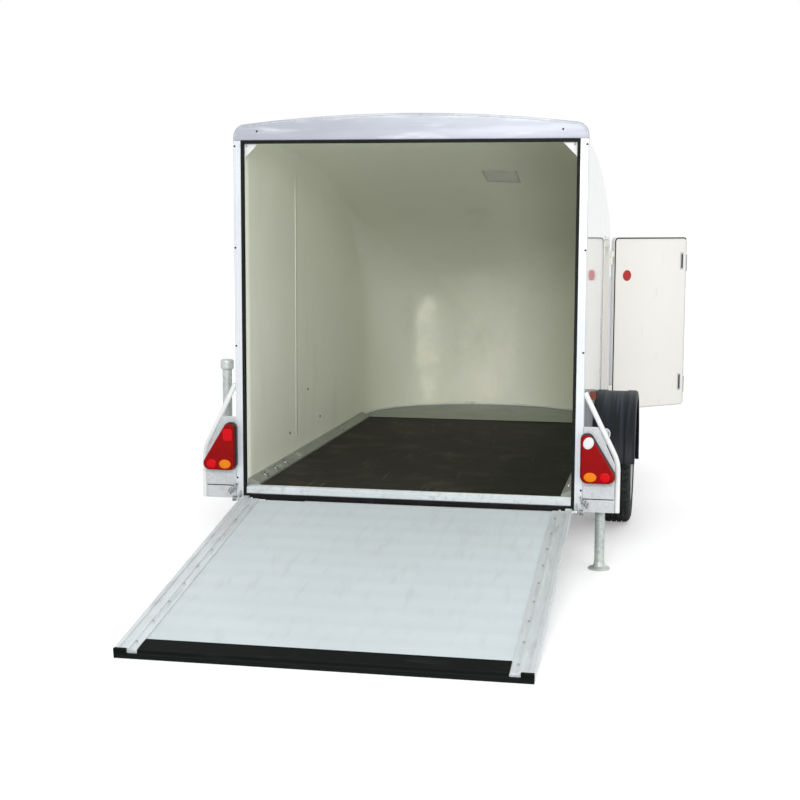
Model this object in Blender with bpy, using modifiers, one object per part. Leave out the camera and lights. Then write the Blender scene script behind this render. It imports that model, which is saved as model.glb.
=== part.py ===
"""Single-axle enclosed cargo trailer with a rear loading ramp and a side door.

+Y points forward to the coupling, +X to the right and +Z up.  The origin lies on
the load floor's top face, on the centre line, right above the wheel axis.
Lengths are in metres.  Stations are distances forward of the rear frame's face.
"""
import math

import bmesh
import bpy
from mathutils import Matrix, Vector

GAP = 0.0003                 # between pieces that touch on the real trailer
CLEAR = 0.0055               # between pieces that move past each other
RUNNING = 0.0006             # round a pin in its bore
MERGE = 0.00005
SHARP = 50.0                 # degrees between faces that a shell shows as an edge
THROUGH = 0.1                # how far a cutter runs past a wall

# Overall layout
FLOOR_HEIGHT = 0.2975         # load floor above the ground
AXLE_STATION = 1.080         # wheel axis
BODY_LENGTH = 2.900          # rear frame to the tip of the nose
NOSE_LENGTH = 0.600          # part of it whose plan rounds into the nose
STRAIGHT_LENGTH = BODY_LENGTH - NOSE_LENGTH
BODY_WIDTH = 1.380
OPENING_HEIGHT = 1.394       # floor to the rear header's lower edge

# Polyester shell
WALL = 0.022
ROOF_ABOVE = 0.046           # roof edge above the header's lower edge, at the rear
SHOULDER_HEIGHT = OPENING_HEIGHT + ROOF_ABOVE
ROOF_CROWN = 0.045
PROFILE_POWER = 2.2          # fullness of the falling roof line
ROOF_EDGE = 0.055            # radius between wall and roof
ROUNDING_LENGTH = 0.950      # from the tip back, where the roof edge rounds off more and more
ROUNDING_STATION = BODY_LENGTH - ROUNDING_LENGTH
ROUNDING_POWER = 1.2
ROUNDING_LIMIT = 0.85        # most of the half width that the rounding takes
STRAIGHT_SHARES = (0.22, 0.41, 0.59, 0.74, 0.85, 0.93)
NOSE_ANGLES = (15, 30, 44, 57, 68, 77, 84, 90)
EDGE_STEPS = 5
CROWN_STEPS = 3
RIM_SLACK = 0.008            # how far a thickened shell's inner rim strays from its outer

# Rear frame and load opening
FRAME_DEPTH = 0.030
FRAME_WIDTH = 1.409
POST_WIDTH = 0.031
SEAL_WIDTH = 0.0125
SEAL_PROUD = 0.004
HEADER_HEIGHT = 0.064        # at its shoulders
HEADER_RISE = 0.038          # from the shoulders to the crown, on the centre line
HEADER_SHOULDER = OPENING_HEIGHT + HEADER_HEIGHT
HEADER_CORNER = 0.050
HEADER_ARC_STEPS = 6
GUSSET_LEG = 0.055
GUSSET_THICKNESS = 0.003
SILL_DEPTH = 0.045
SILL_HEIGHT = 0.030
SILL_SEAL_HEIGHT = 0.0215

# Floor
FLOOR_THICKNESS = 0.018
FLOOR_SETBACK = 0.110        # floor's front edge behind the start of the nose
FLOOR_LENGTH = STRAIGHT_LENGTH - FLOOR_SETBACK
RAIL_WIDTH = 0.050
RAIL_HEIGHT = 0.025
RAIL_TOE = 0.0075
RAIL_FLAT = 0.015
RING_STATIONS = (0.42, 0.74, 1.60)
RING_RADIUS = 0.014
RING_WIRE = 0.003
RING_LIFT = 0.4              # share of the wire's radius that stands clear of the rail

# Chassis
MEMBER_HEIGHT = 0.040
MEMBER_WIDTH = 0.050
MEMBER_SPREAD = 0.450        # centre line to a chassis rail
REAR_MEMBER_STATION = 0.100
MEMBER_SETBACK = 0.090       # front cross member behind the floor's front edge
FRONT_MEMBER_STATION = FLOOR_LENGTH - MEMBER_SETBACK

# Wheels and axle
TYRE_RADIUS = 0.2735
TYRE_WIDTH = 0.155
TYRE_CLEARANCE = 0.016       # wall to tyre
RIM_RADIUS = 0.168
RIM_FLANGE = 0.009
BEAD_HALF = 0.0605           # half the width over the tyre's beads
BEAD_DEPTH = 0.011
TREAD_EDGE = 0.022           # depth of the tyre's rounded shoulder
FLANGE_EDGE = 0.004
BARREL_WALL = 0.012
DISC_SET = 0.022             # disc's inner face outside the wheel's middle plane
DISC_THICKNESS = 0.006
RIDGE_RADIUS = 0.095         # crest of the disc's raised ring
RIDGE_RISE = 0.012
RIDGE_FOOT = 0.028           # from the crest in to the flat bolt face
DISC_RADIUS = 0.134          # where the disc turns in to the barrel
CAP_RADIUS = 0.030
CAP_RISE = 0.028
CAP_EDGE = 0.004
RIM_HOLES = 8
RIM_HOLE_RADIUS = 0.013
RIM_HOLE_CIRCLE = 0.115
HUB_RADIUS = 0.045
HUB_DEPTH = 0.036            # hub's inner end from the middle plane
HUB_BLIND = 0.016            # outer end of the hub's bore
STUB_RADIUS = 0.015
STUB_REACH = 0.010           # stub axle's end outside the middle plane
WHEEL_STEPS = 32
BEAM_SIZE = 0.050
ARM_REACH = 0.085            # beam centre ahead of the wheel axis
ARM_THICKNESS = 0.022
ARM_BOSS = 0.026

# Mudguards
GUARD_CLEARANCE = 0.061
GUARD_WIDTH = 0.189
GUARD_THICKNESS = 0.004
GUARD_LIP = 0.030
GUARD_EDGE = 0.012           # width of the rounded outer edge
GUARD_START_ANGLE = -6       # above the horizontal, at the front
GUARD_END_ANGLE = 172
GUARD_STEPS = 14

# Drawbar, coupling and jockey wheel
DRAWBAR_RADIUS = 0.026
DRAWBAR_START = 1.230
BEND_AHEAD = 0.060           # of the nose
DRAWBAR_BEND = BODY_LENGTH + BEND_AHEAD
DRAWBAR_BEND_SPREAD = 0.200
BALL_AHEAD = 0.940           # of the nose
COUPLING_STATION = BODY_LENGTH + BALL_AHEAD
COUPLING_HEIGHT = 0.400      # ball centre above the ground
COUPLING_LENGTH = 0.300
COUPLING_WIDTH = 0.070
COUPLING_TOP = 0.026         # shank's top above the ball centre
COUPLING_LOW = 0.034
COUPLING_RADIUS = 0.048
COUPLING_CROWN = 0.052
BALL_ROOM = 0.028            # radius of the cup that takes the 50 mm ball
BALL_ROOM_TOP = 0.012
LEVER_RADIUS = 0.010
SHANK_OVERLAP = 0.060        # drawbar legs beside the shank
DRAWBAR_DROP = 0.010         # leg's end below the ball centre
DRAWBAR_STRAIGHT = 0.160     # level run at the coupling
DRAWBAR_TOE = 0.020          # how far a leg runs inward under the chassis
JOCKEY_AHEAD = 0.430
JOCKEY_STATION = BODY_LENGTH + JOCKEY_AHEAD
JOCKEY_SIDE = -0.200
JOCKEY_OUTER = 0.0240
JOCKEY_INNER = 0.0190
JOCKEY_OUTER_LENGTH = 0.360
JOCKEY_TRAVEL = 0.110
JOCKEY_SPARE = 0.016         # fork to outer tube, fully wound up
JOCKEY_OVERLAP = 0.150       # inner tube inside the outer, as it stands
JOCKEY_WHEEL_RADIUS = 0.080
JOCKEY_WHEEL_WIDTH = 0.045
JOCKEY_PIN = 0.007
JOCKEY_TRAIL = 0.030
FORK_PLATE = 0.004
FORK_HEIGHT = 0.174          # top of the fork above the ground
JOCKEY_OUTER_FOOT = FORK_HEIGHT + JOCKEY_TRAVEL + JOCKEY_SPARE
CLAMP_LENGTH = 0.050
CRANK_LENGTH = 0.110
CRANK_RADIUS = 0.0065
CRANK_RISE = 0.030
CRANK_HANDLE = 0.045
TUBE_LID = 0.004
FORK_FRONT = 0.024
FORK_BACK = 0.022
FORK_FOOT = 0.018
PIN_PROUD = 0.006
JOCKEY_HUB = 0.022
JOCKEY_TREAD = 0.016
JOCKEY_WEB = 0.008           # web's setback from the wheel's face
JOCKEY_EDGE = 0.005

# Rear prop stands
STAND_SIDE = 0.770
STAND_RADIUS = 0.0195
STAND_LENGTH = 0.562
STAND_LIFT = 0.2465
STAND_FOOT_RADIUS = 0.044
STAND_FOOT_HEIGHT = 0.008
STAND_CAP_RADIUS = 0.0275
STAND_CAP_HEIGHT = 0.040
STAND_CAP_EDGE = 0.004
STAND_ANKLE = 0.030          # where the tube starts to flare into its foot
STAND_ANKLE_RADIUS = 0.0255
SLEEVE_WALL = 0.0055
SLEEVE_LOW = 0.004
SLEEVE_TOP = 0.076
CLAMP_PLATE = 0.006
CLAMP_PLATE_WIDTH = 0.060
CLAMP_ARM = 0.036            # height of the arm between plate and sleeve
CLAMP_SCREW_LENGTH = 0.030
CLAMP_SCREW_RADIUS = 0.006
CLAMP_GRIP = 0.056

# Lamp brackets, braces and rear lamps
BRACKET_TOP = 0.287
BRACKET_PLATE = 0.003
BRACKET_BOX_LOW = -0.050
BRACKET_BOX_HIGH = 0.004
BRACKET_BOX_DEPTH = 0.045
BRACE_RADIUS = 0.010
BRACE_TOP = 0.406
BRACE_KNEE = 0.151
BRACE_SIDE = 0.840
BRACE_SET_IN = 0.0125        # brace centre ahead of the rear face
LAMP_LOW = 0.068
LAMP_HIGH = 0.264
LAMP_WIDTH = 0.1375
LAMP_TOP_WIDTH = 0.052
LAMP_CORNER = 0.016
LAMP_SET_OUT = -0.009         # post to lamp
HOUSING_EDGE = 0.003
HOUSING_DEPTH = 0.030
LENS_EDGE = 0.006
LENS_DEPTH = 0.020
LENS_MARGIN = 0.007
SMALL_LENS_RADIUS = 0.0185
SMALL_LENS_DEPTH = 0.005
AMBER_PLACE = (0.040, 0.030)  # from the lamp's lower inner corner
CLEAR_PLACE = (0.030, 0.160)

# Ramp
RAMP_WIDTH = 1.335
RAMP_HINGE_HEIGHT = 0.2507   # above the ground
RAMP_ROOM = 0.0158           # from the closed ramp's tip to the header
RAMP_LENGTH = OPENING_HEIGHT + FLOOR_HEIGHT - RAMP_HINGE_HEIGHT - RAMP_ROOM
RAMP_SURFACE = 0.008         # deck top above the hinge axis
RAMP_RAIL_WIDTH = 0.075
RAMP_RAIL_RISE = 0.010
RAMP_DECK = 0.018
RAMP_RAIL_DEPTH = 0.032
RAMP_START = 0.026
RAIL_GROOVE = (0.46, 0.80)   # shares of the rail's width between its two ribs
RAIL_STEP = 0.34
FLAP_LENGTH = 0.091
FLAP_THICKNESS = 0.006
FLAP_SLOPE = 0.011           # length of the flap's slanted front
FLAP_MARGIN = 0.002
TIP_THICKNESS = 0.012
TIP_HEIGHT = 0.014
END_CAP = 0.55               # share of the rail's width that its end cap closes
HINGE_EYE_RADIUS = 0.013
HINGE_LUG = 0.010            # overlap of the hinge lug and the rail
HINGE_PIN_RADIUS = 0.006
HINGE_PLATE = 0.006
HINGE_PLATE_RISE = 0.030
HINGE_SIDE = 0.684           # middle of the fixed hinge plate

# Side door
DOOR_SETBACK_FROM_NOSE = 0.9774
DOOR_HINGE_STATION = BODY_LENGTH - DOOR_SETBACK_FROM_NOSE
DOOR_OPEN = 133              # degrees from closed, as it stands
DOOR_WIDTH = 0.4946
DOOR_ROOM = 0.0834           # from the leaf's top up to the roof edge, at the hinge
DOOR_BOTTOM = 0.108
DOOR_THICKNESS = 0.026
DOOR_SETBACK = 0.020         # hinge axis to the leaf's edge
DOOR_CORNER = 0.040
DOOR_OVERLAP = 0.022
DOOR_SEAL_WIDTH = 0.012
DOOR_SEAL_THICKNESS = 0.003
DOOR_FRAME_PROUD = 0.0045
DOOR_FRAME_WIDTH = 0.020
DOOR_FRAME_FLANGE = 0.012
DOOR_FRAME_LIP = 0.004       # liner's edge inside the wall
LEAF_EDGE = 0.003
KNUCKLE_RADIUS = 0.006
KNUCKLE_HEIGHT = 0.040
KNUCKLE_NECK = 0.003
HINGE_STRAP = 0.004
HINGE_INSET = 0.100          # from the leaf's bottom and top
LATCH_LOW_INSET = 0.111
LATCH_TOP_INSET = 0.136
LATCH_SIZE = 0.085
LATCH_PLATE = 0.003
LATCH_REACH = 0.050
LATCH_FACE = 0.006
LATCH_HANDLE = (0.006, 0.044, 0.014)   # start, end and half height
LATCH_HANDLE_RISE = 0.020

# Places that follow from the sizes
GROUND = -FLOOR_HEIGHT
REAR = -AXLE_STATION
HALF_BODY = BODY_WIDTH / 2
HALF_FRAME = FRAME_WIDTH / 2
WALL_FOOT = -FLOOR_THICKNESS
WHEEL_Z = GROUND + TYRE_RADIUS
WHEEL_X = HALF_BODY + TYRE_CLEARANCE + TYRE_WIDTH / 2
MEMBER_TOP = -FLOOR_THICKNESS - GAP
MEMBER_LOW = MEMBER_TOP - MEMBER_HEIGHT
BEAM_Z = MEMBER_LOW - GAP - BEAM_SIZE / 2
BEAM_Y = ARM_REACH
OPENING_HALF = HALF_FRAME - POST_WIDTH - SEAL_WIDTH


def along(station):
    """Y of a distance forward of the rear frame's face."""
    return REAR + station


def clear_scene():
    for item in list(bpy.data.objects):
        bpy.data.objects.remove(item, do_unlink=True)


clear_scene()
TRAILER = bpy.data.collections.new("cargo_trailer")
bpy.context.scene.collection.children.link(TRAILER)


def finish(name, colour, roughness, metallic=0.0):
    made = bpy.data.materials.new(name)
    made.use_nodes = True
    shader = made.node_tree.nodes["Principled BSDF"]
    shader.inputs["Base Color"].default_value = (*colour, 1.0)
    shader.inputs["Roughness"].default_value = roughness
    shader.inputs["Metallic"].default_value = metallic
    return made


POLYESTER = finish("white_polyester", (0.83, 0.85, 0.84), 0.12)
ALUMINIUM = finish("aluminium", (0.62, 0.65, 0.68), 0.38, 0.9)
GALVANISED = finish("galvanised_steel", (0.56, 0.59, 0.60), 0.45, 0.85)
RUBBER = finish("black_rubber", (0.015, 0.015, 0.016), 0.7)
PLASTIC = finish("black_plastic", (0.03, 0.032, 0.036), 0.5)
FLOORING = finish("dark_floor", (0.035, 0.028, 0.024), 0.75)
DECKING = finish("pale_deck", (0.60, 0.64, 0.70), 0.5)
PAINTED = finish("white_paint", (0.80, 0.82, 0.83), 0.4)
RED_LENS = finish("red_lens", (0.55, 0.01, 0.01), 0.12)
RIM_STEEL = finish("rim_steel", (0.50, 0.52, 0.53), 0.4, 0.7)


def keep(piece, name, material, parent=None):
    """File a finished piece under its name in the trailer's collection."""
    piece.name = name
    piece.data.name = name
    piece.data.materials.clear()
    piece.data.materials.append(material)
    for group in list(piece.users_collection):
        group.objects.unlink(piece)
    TRAILER.objects.link(piece)
    piece.parent = parent
    return piece


def joint_empty(name, place, rotation=(0.0, 0.0, 0.0)):
    """Empty on a joint's axis, which its moving pieces are parented to."""
    empty = bpy.data.objects.new(name, None)
    empty.location = place
    empty.rotation_euler = rotation
    TRAILER.objects.link(empty)
    return empty


def from_mesh(mesh):
    piece = bpy.data.objects.new(mesh.name, mesh)
    bpy.context.scene.collection.objects.link(piece)
    return piece


def bake(piece):
    """Replace a piece's modifiers, or its curve, by the mesh they give."""
    bpy.context.view_layer.update()
    graph = bpy.context.evaluated_depsgraph_get()
    mesh = bpy.data.meshes.new_from_object(piece.evaluated_get(graph))
    edit = bmesh.new()
    edit.from_mesh(mesh)
    bmesh.ops.remove_doubles(edit, verts=edit.verts, dist=MERGE)
    edit.to_mesh(mesh)
    edit.free()
    baked = from_mesh(mesh)
    baked.matrix_world = piece.matrix_world.copy()
    bpy.data.objects.remove(piece, do_unlink=True)
    return baked


def boolean(piece, tool, operation):
    step = piece.modifiers.new(operation.lower(), 'BOOLEAN')
    step.operation = operation
    step.solver = 'EXACT'
    step.object = tool
    done = bake(piece)
    bpy.data.objects.remove(tool, do_unlink=True)
    return done


def gather(pieces):
    """One object that holds the meshes of several separate pieces."""
    edit = bmesh.new()
    for piece in pieces:
        edit.from_mesh(piece.data)
        bpy.data.objects.remove(piece, do_unlink=True)
    mesh = bpy.data.meshes.new("gathered")
    edit.to_mesh(mesh)
    edit.free()
    return from_mesh(mesh)


def fuse(piece, *others):
    for other in others:
        piece = boolean(piece, other, 'UNION')
    return piece


def cut(piece, *tools):
    for tool in tools:
        piece = boolean(piece, tool, 'DIFFERENCE')
    return piece


def bevel(piece, width, segments=1, angle=35.0):
    step = piece.modifiers.new("bevel", 'BEVEL')
    step.width = width
    step.segments = segments
    step.limit_method = 'ANGLE'
    step.angle_limit = math.radians(angle)
    return bake(piece)


def box(low, high, edge=0.0):
    """Block between two corners, with an optional chamfer."""
    bpy.ops.mesh.primitive_cube_add(size=1.0)
    piece = bpy.context.object
    size = [b - a for a, b in zip(low, high)]
    middle = [(a + b) / 2 for a, b in zip(low, high)]
    piece.data.transform(Matrix.Translation(middle) @ Matrix.Diagonal((*size, 1.0)))
    return bevel(piece, edge) if edge else piece


def rod(start, end, radius, sides=16):
    """Round bar between two points."""
    start, end = Vector(start), Vector(end)
    bpy.ops.mesh.primitive_cylinder_add(vertices=sides, radius=radius,
                                        depth=(end - start).length)
    piece = bpy.context.object
    turn = (end - start).to_track_quat('Z', 'Y').to_matrix().to_4x4()
    piece.data.transform(Matrix.Translation((start + end) / 2) @ turn)
    return piece


def tube(points, radius, resolution=2):
    """Round tube along a path of straight runs."""
    curve = bpy.data.curves.new("tube", 'CURVE')
    curve.dimensions = '3D'
    curve.bevel_depth = radius
    curve.bevel_resolution = resolution
    curve.use_fill_caps = True
    spline = curve.splines.new('POLY')
    spline.points.add(len(points) - 1)
    for point, place in zip(spline.points, points):
        point.co = (*place, 1.0)
    piece = bpy.data.objects.new("tube", curve)
    bpy.context.scene.collection.objects.link(piece)
    return bake(piece)


def plate(outline, thickness, plane, level):
    """Flat outline given thickness.  plane 'YZ' stands across X, 'XZ' across Y and
    'XY' across Z; level is where the plate starts along that third axis."""
    curve = bpy.data.curves.new("plate", 'CURVE')
    curve.dimensions = '2D'
    curve.fill_mode = 'BOTH'
    curve.extrude = thickness / 2
    spline = curve.splines.new('POLY')
    spline.points.add(len(outline) - 1)
    for point, (a, b) in zip(spline.points, outline):
        point.co = (a, b, 0.0, 1.0)
    spline.use_cyclic_u = True
    piece = bpy.data.objects.new("plate", curve)
    bpy.context.scene.collection.objects.link(piece)
    middle = level + thickness / 2
    turns = {
        'YZ': Matrix(((0, 0, 1, middle), (1, 0, 0, 0), (0, 1, 0, 0), (0, 0, 0, 1))),
        'XZ': Matrix(((1, 0, 0, 0), (0, 0, -1, middle), (0, 1, 0, 0), (0, 0, 0, 1))),
        'XY': Matrix(((1, 0, 0, 0), (0, 1, 0, 0), (0, 0, 1, middle), (0, 0, 0, 1))),
    }
    piece = bake(piece)
    piece.data.transform(turns[plane])
    return piece


def turned(profile, steps=WHEEL_STEPS):
    """Profile of (radius, height) points turned round the Z axis."""
    mesh = bpy.data.meshes.new("turned")
    closed = profile[0][0] > MERGE and profile[-1][0] > MERGE
    edges = [(i, i + 1) for i in range(len(profile) - 1)]
    if closed:
        edges.append((len(profile) - 1, 0))
    mesh.from_pydata([(r, 0.0, z) for r, z in profile], edges, [])
    piece = from_mesh(mesh)
    screw = piece.modifiers.new("turn", 'SCREW')
    screw.axis = 'Z'
    screw.steps = steps
    screw.render_steps = steps
    screw.use_merge_vertices = True
    screw.merge_threshold = MERGE
    piece = bake(piece)
    edit = bmesh.new()
    edit.from_mesh(piece.data)
    bmesh.ops.recalc_face_normals(edit, faces=edit.faces)
    edit.to_mesh(piece.data)
    edit.free()
    return piece


def lay_along_x(piece, outward=1.0):
    """Turn a piece from the Z axis to the X axis."""
    piece.data.transform(Matrix.Rotation(math.radians(90.0) * outward, 4, 'Y'))
    return piece


def arc(centre, radius, start, end, steps):
    """Points on an arc, angles in degrees; radius may be a pair."""
    wide, high = radius if isinstance(radius, tuple) else (radius, radius)
    points = []
    for i in range(steps + 1):
        angle = math.radians(start + (end - start) * i / steps)
        points.append((centre[0] + wide * math.cos(angle), centre[1] + high * math.sin(angle)))
    return points


def rounded_rectangle(low, high, radius, steps=3):
    (x0, y0), (x1, y1) = low, high
    return (arc((x1 - radius, y0 + radius), radius, -90, 0, steps)
            + arc((x1 - radius, y1 - radius), radius, 0, 90, steps)
            + arc((x0 + radius, y1 - radius), radius, 90, 180, steps)
            + arc((x0 + radius, y0 + radius), radius, 180, 270, steps))


def both_sides(make):
    """Call a maker for the left and the right side."""
    for side, name in ((-1.0, "left"), (1.0, "right")):
        make(side, name)


# Shell

def shoulder(station):
    """Height of the roof edge, a superellipse from the rear frame to the nose."""
    rest = max(0.0, 1.0 - (station / BODY_LENGTH) ** PROFILE_POWER)
    return SHOULDER_HEIGHT * rest ** (1.0 / PROFILE_POWER)


def half_width(station):
    if station <= STRAIGHT_LENGTH:
        return HALF_BODY
    reach = (station - STRAIGHT_LENGTH) / (BODY_LENGTH - STRAIGHT_LENGTH)
    return HALF_BODY * math.sqrt(max(0.0, 1.0 - reach * reach))


def edge_radii(station):
    """Width and height of the quarter round between wall and roof."""
    ahead = max(0.0, station - ROUNDING_STATION) / (BODY_LENGTH - ROUNDING_STATION)
    share = ahead ** ROUNDING_POWER
    widest, highest = ROUNDING_LIMIT * half_width(station), shoulder(station)
    wide = ROOF_EDGE + share * (widest - ROOF_EDGE)
    high = ROOF_EDGE + share * (highest - ROOF_EDGE)
    return min(wide, widest), min(high, highest)


def wall_top(station):
    return shoulder(station) - edge_radii(station)[1]


def shell_stations():
    start = FRAME_DEPTH + GAP
    nose = [STRAIGHT_LENGTH + (BODY_LENGTH - STRAIGHT_LENGTH) * math.sin(math.radians(a))
            for a in NOSE_ANGLES]
    straight = [STRAIGHT_LENGTH * share for share in STRAIGHT_SHARES]
    return [start, *straight, STRAIGHT_LENGTH, *nose]


def half_section(station):
    """Right half of the shell's outer section, from its foot to the centre line."""
    width, height = half_width(station), shoulder(station)
    wide, high = edge_radii(station)
    points = [(width, WALL_FOOT)]
    points += arc((width - wide, height - high), (wide, high), 0, 90, EDGE_STEPS)
    crown = ROOF_CROWN * (width / HALF_BODY)
    for i in range(1, CROWN_STEPS + 1):
        share = 1.0 - i / CROWN_STEPS
        points.append(((width - wide) * share, height + crown * (1.0 - share * share)))
    return points


def square_rims(mesh):
    """Bring the thickened shell's inner rims level with its outer ones."""
    rear, front, inner = along(FRAME_DEPTH + GAP), along(STRAIGHT_LENGTH), HALF_BODY - WALL
    for vert in mesh.vertices:
        place = vert.co
        if place.y < rear + RIM_SLACK:
            place.y = rear
        if abs(abs(place.x) - inner) > RIM_SLACK or place.y > front + RIM_SLACK:
            continue
        if abs(place.y - front) < RIM_SLACK and place.z < wall_top(STRAIGHT_LENGTH) + RIM_SLACK:
            place.y = front
            place.x = math.copysign(inner, place.x)
        station = min(shell_stations(), key=lambda s: abs(along(s) - place.y))
        if abs(place.z - wall_top(place.y - REAR)) < RIM_SLACK:
            place.xyz = math.copysign(inner, place.x), along(station), wall_top(station)


def make_roof_and_nose():
    """Lofted half shell, open where the flat side walls go, mirrored and thickened."""
    stations = shell_stations()
    edit = bmesh.new()
    rows = []
    for station in stations:
        rows.append([edit.verts.new((x, along(station), z)) for x, z in half_section(station)])
    for i in range(len(stations) - 1):
        for j in range(len(rows[0]) - 1):
            if j == 0 and stations[i + 1] <= STRAIGHT_LENGTH + GAP:
                continue
            edit.faces.new((rows[i][j], rows[i + 1][j], rows[i + 1][j + 1], rows[i][j + 1]))
    loose = [v for v in edit.verts if not v.link_faces]
    bmesh.ops.delete(edit, geom=loose, context='VERTS')
    bmesh.ops.remove_doubles(edit, verts=edit.verts, dist=MERGE)
    bmesh.ops.dissolve_degenerate(edit, edges=edit.edges, dist=MERGE)
    mesh = bpy.data.meshes.new("roof_and_nose")
    edit.to_mesh(mesh)
    edit.free()
    piece = from_mesh(mesh)
    mirror = piece.modifiers.new("mirror", 'MIRROR')
    mirror.use_clip = True
    mirror.merge_threshold = 0.0001
    solid = piece.modifiers.new("wall", 'SOLIDIFY')
    solid.thickness = WALL
    solid.offset = -1.0
    solid.use_even_offset = True
    piece = bake(piece)
    square_rims(piece.data)
    piece.data.shade_smooth()
    piece.data.set_sharp_from_angle(angle=math.radians(SHARP))
    keep(piece, "roof_and_nose", POLYESTER)


def side_wall_outline():
    stations = [s for s in shell_stations() if s <= STRAIGHT_LENGTH]
    front = STRAIGHT_LENGTH - GAP
    top = [(along(min(s, front)), wall_top(s) - GAP) for s in stations]
    return [(along(stations[0]), WALL_FOOT), (along(front), WALL_FOOT), *reversed(top)]


def door_top():
    """Top of the leaf, below the straight part of the wall's upper edge."""
    return wall_top(DOOR_HINGE_STATION) - DOOR_ROOM


def door_outline(margin):
    """Rounded outline of the closed side door, grown by a margin."""
    front = along(DOOR_HINGE_STATION - DOOR_SETBACK)
    low = (front - DOOR_WIDTH - margin, DOOR_BOTTOM - margin)
    high = (front + margin, door_top() + margin)
    return rounded_rectangle(low, high, max(DOOR_CORNER + margin, 0.010))


def make_side_wall(side, name):
    low = HALF_BODY - WALL if side > 0 else -HALF_BODY
    piece = plate(side_wall_outline(), WALL, 'YZ', low)
    if side > 0:
        hole = plate(door_outline(-DOOR_OVERLAP), WALL + 2 * THROUGH, 'YZ', low - THROUGH)
        piece = cut(piece, hole)
    keep(piece, f"side_wall_{name}", POLYESTER)


# Rear frame

def make_post(side, name):
    outer, inner = side * HALF_FRAME, side * (HALF_FRAME - POST_WIDTH)
    foot = BRACKET_BOX_LOW
    top = OPENING_HEIGHT - GAP
    piece = box((min(outer, inner), REAR, foot), (max(outer, inner), REAR + FRAME_DEPTH, top), 0.004)
    keep(piece, f"rear_post_{name}", ALUMINIUM)


def make_header():
    half = HALF_FRAME
    corner = arc((half - HEADER_CORNER, HEADER_SHOULDER - HEADER_CORNER), HEADER_CORNER, 0, 90, 4)
    crown = []
    for i in range(1, 2 * HEADER_ARC_STEPS):
        share = 1.0 - i / HEADER_ARC_STEPS
        rise = HEADER_RISE * (1.0 - share * share)
        crown.append(((half - HEADER_CORNER) * share, HEADER_SHOULDER + rise))
    left = [(-x, z) for x, z in reversed(corner)]
    outline = [(-half, OPENING_HEIGHT), (half, OPENING_HEIGHT), *corner, *crown, *left]
    piece = plate(outline, FRAME_DEPTH, 'XZ', REAR)
    keep(bevel(piece, 0.004), "rear_header", ALUMINIUM)


def make_gusset(side, name):
    corner = (side * (OPENING_HALF - GAP), OPENING_HEIGHT - SEAL_WIDTH - GAP)
    outline = [corner, (corner[0], corner[1] - GUSSET_LEG), (corner[0] - side * GUSSET_LEG, corner[1])]
    if side > 0:
        outline.reverse()
    piece = plate(outline, GUSSET_THICKNESS, 'XZ', REAR + FRAME_DEPTH / 2)
    keep(piece, f"corner_gusset_{name}", PAINTED)


def make_opening_seal():
    """Rubber seal round the opening: inside the posts, under the header and under the sill."""
    outer, top = HALF_FRAME - POST_WIDTH - GAP, OPENING_HEIGHT - GAP
    depth = FRAME_DEPTH / 2 + SEAL_PROUD
    low_outer, low_inner = -SILL_HEIGHT - SILL_SEAL_HEIGHT, -SILL_HEIGHT - GAP
    ring = plate([(-outer, low_outer), (outer, low_outer), (outer, top), (-outer, top)],
                 depth, 'XZ', REAR - SEAL_PROUD)
    inner, high_inner = OPENING_HALF, OPENING_HEIGHT - SEAL_WIDTH
    hole = plate([(-inner, low_inner), (inner, low_inner), (inner, high_inner), (-inner, high_inner)],
                 3 * depth, 'XZ', REAR - 2 * depth)
    keep(cut(ring, hole), "opening_seal", RUBBER)


def make_sill():
    half = OPENING_HALF - GAP
    piece = box((-half, REAR, -SILL_HEIGHT), (half, REAR + SILL_DEPTH, 0.0), 0.003)
    keep(piece, "rear_sill", ALUMINIUM)


# Floor

def make_floor():
    half = HALF_BODY - WALL - GAP - RAIL_WIDTH - GAP
    keep(box((-half, REAR + SILL_DEPTH + GAP, -FLOOR_THICKNESS), (half, along(FLOOR_LENGTH), 0.0)),
         "load_floor", FLOORING)


def nose_inside(extra):
    """Plan of the shell's inner face at the floor, right side from the straight to the tip."""
    inset = WALL + extra
    length = BODY_LENGTH - STRAIGHT_LENGTH
    points = [(HALF_BODY - inset, along(STRAIGHT_LENGTH))]
    for angle in NOSE_ANGLES:
        c, s = math.cos(math.radians(angle)), math.sin(math.radians(angle))
        normal = Vector((c / HALF_BODY, s / length)).normalized()
        points.append((HALF_BODY * c - inset * normal.x,
                       along(STRAIGHT_LENGTH) + length * s - inset * normal.y))
    return points


def make_nose_plate():
    right = nose_inside(0.0012)
    left = [(-x, y) for x, y in reversed(right[:-1])]
    start = along(FLOOR_LENGTH) + GAP
    outline = [(-right[0][0], start), (right[0][0], start), *right, *left]
    keep(plate(outline, FLOOR_THICKNESS, 'XY', -FLOOR_THICKNESS), "nose_floor_plate", ALUMINIUM)


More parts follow.
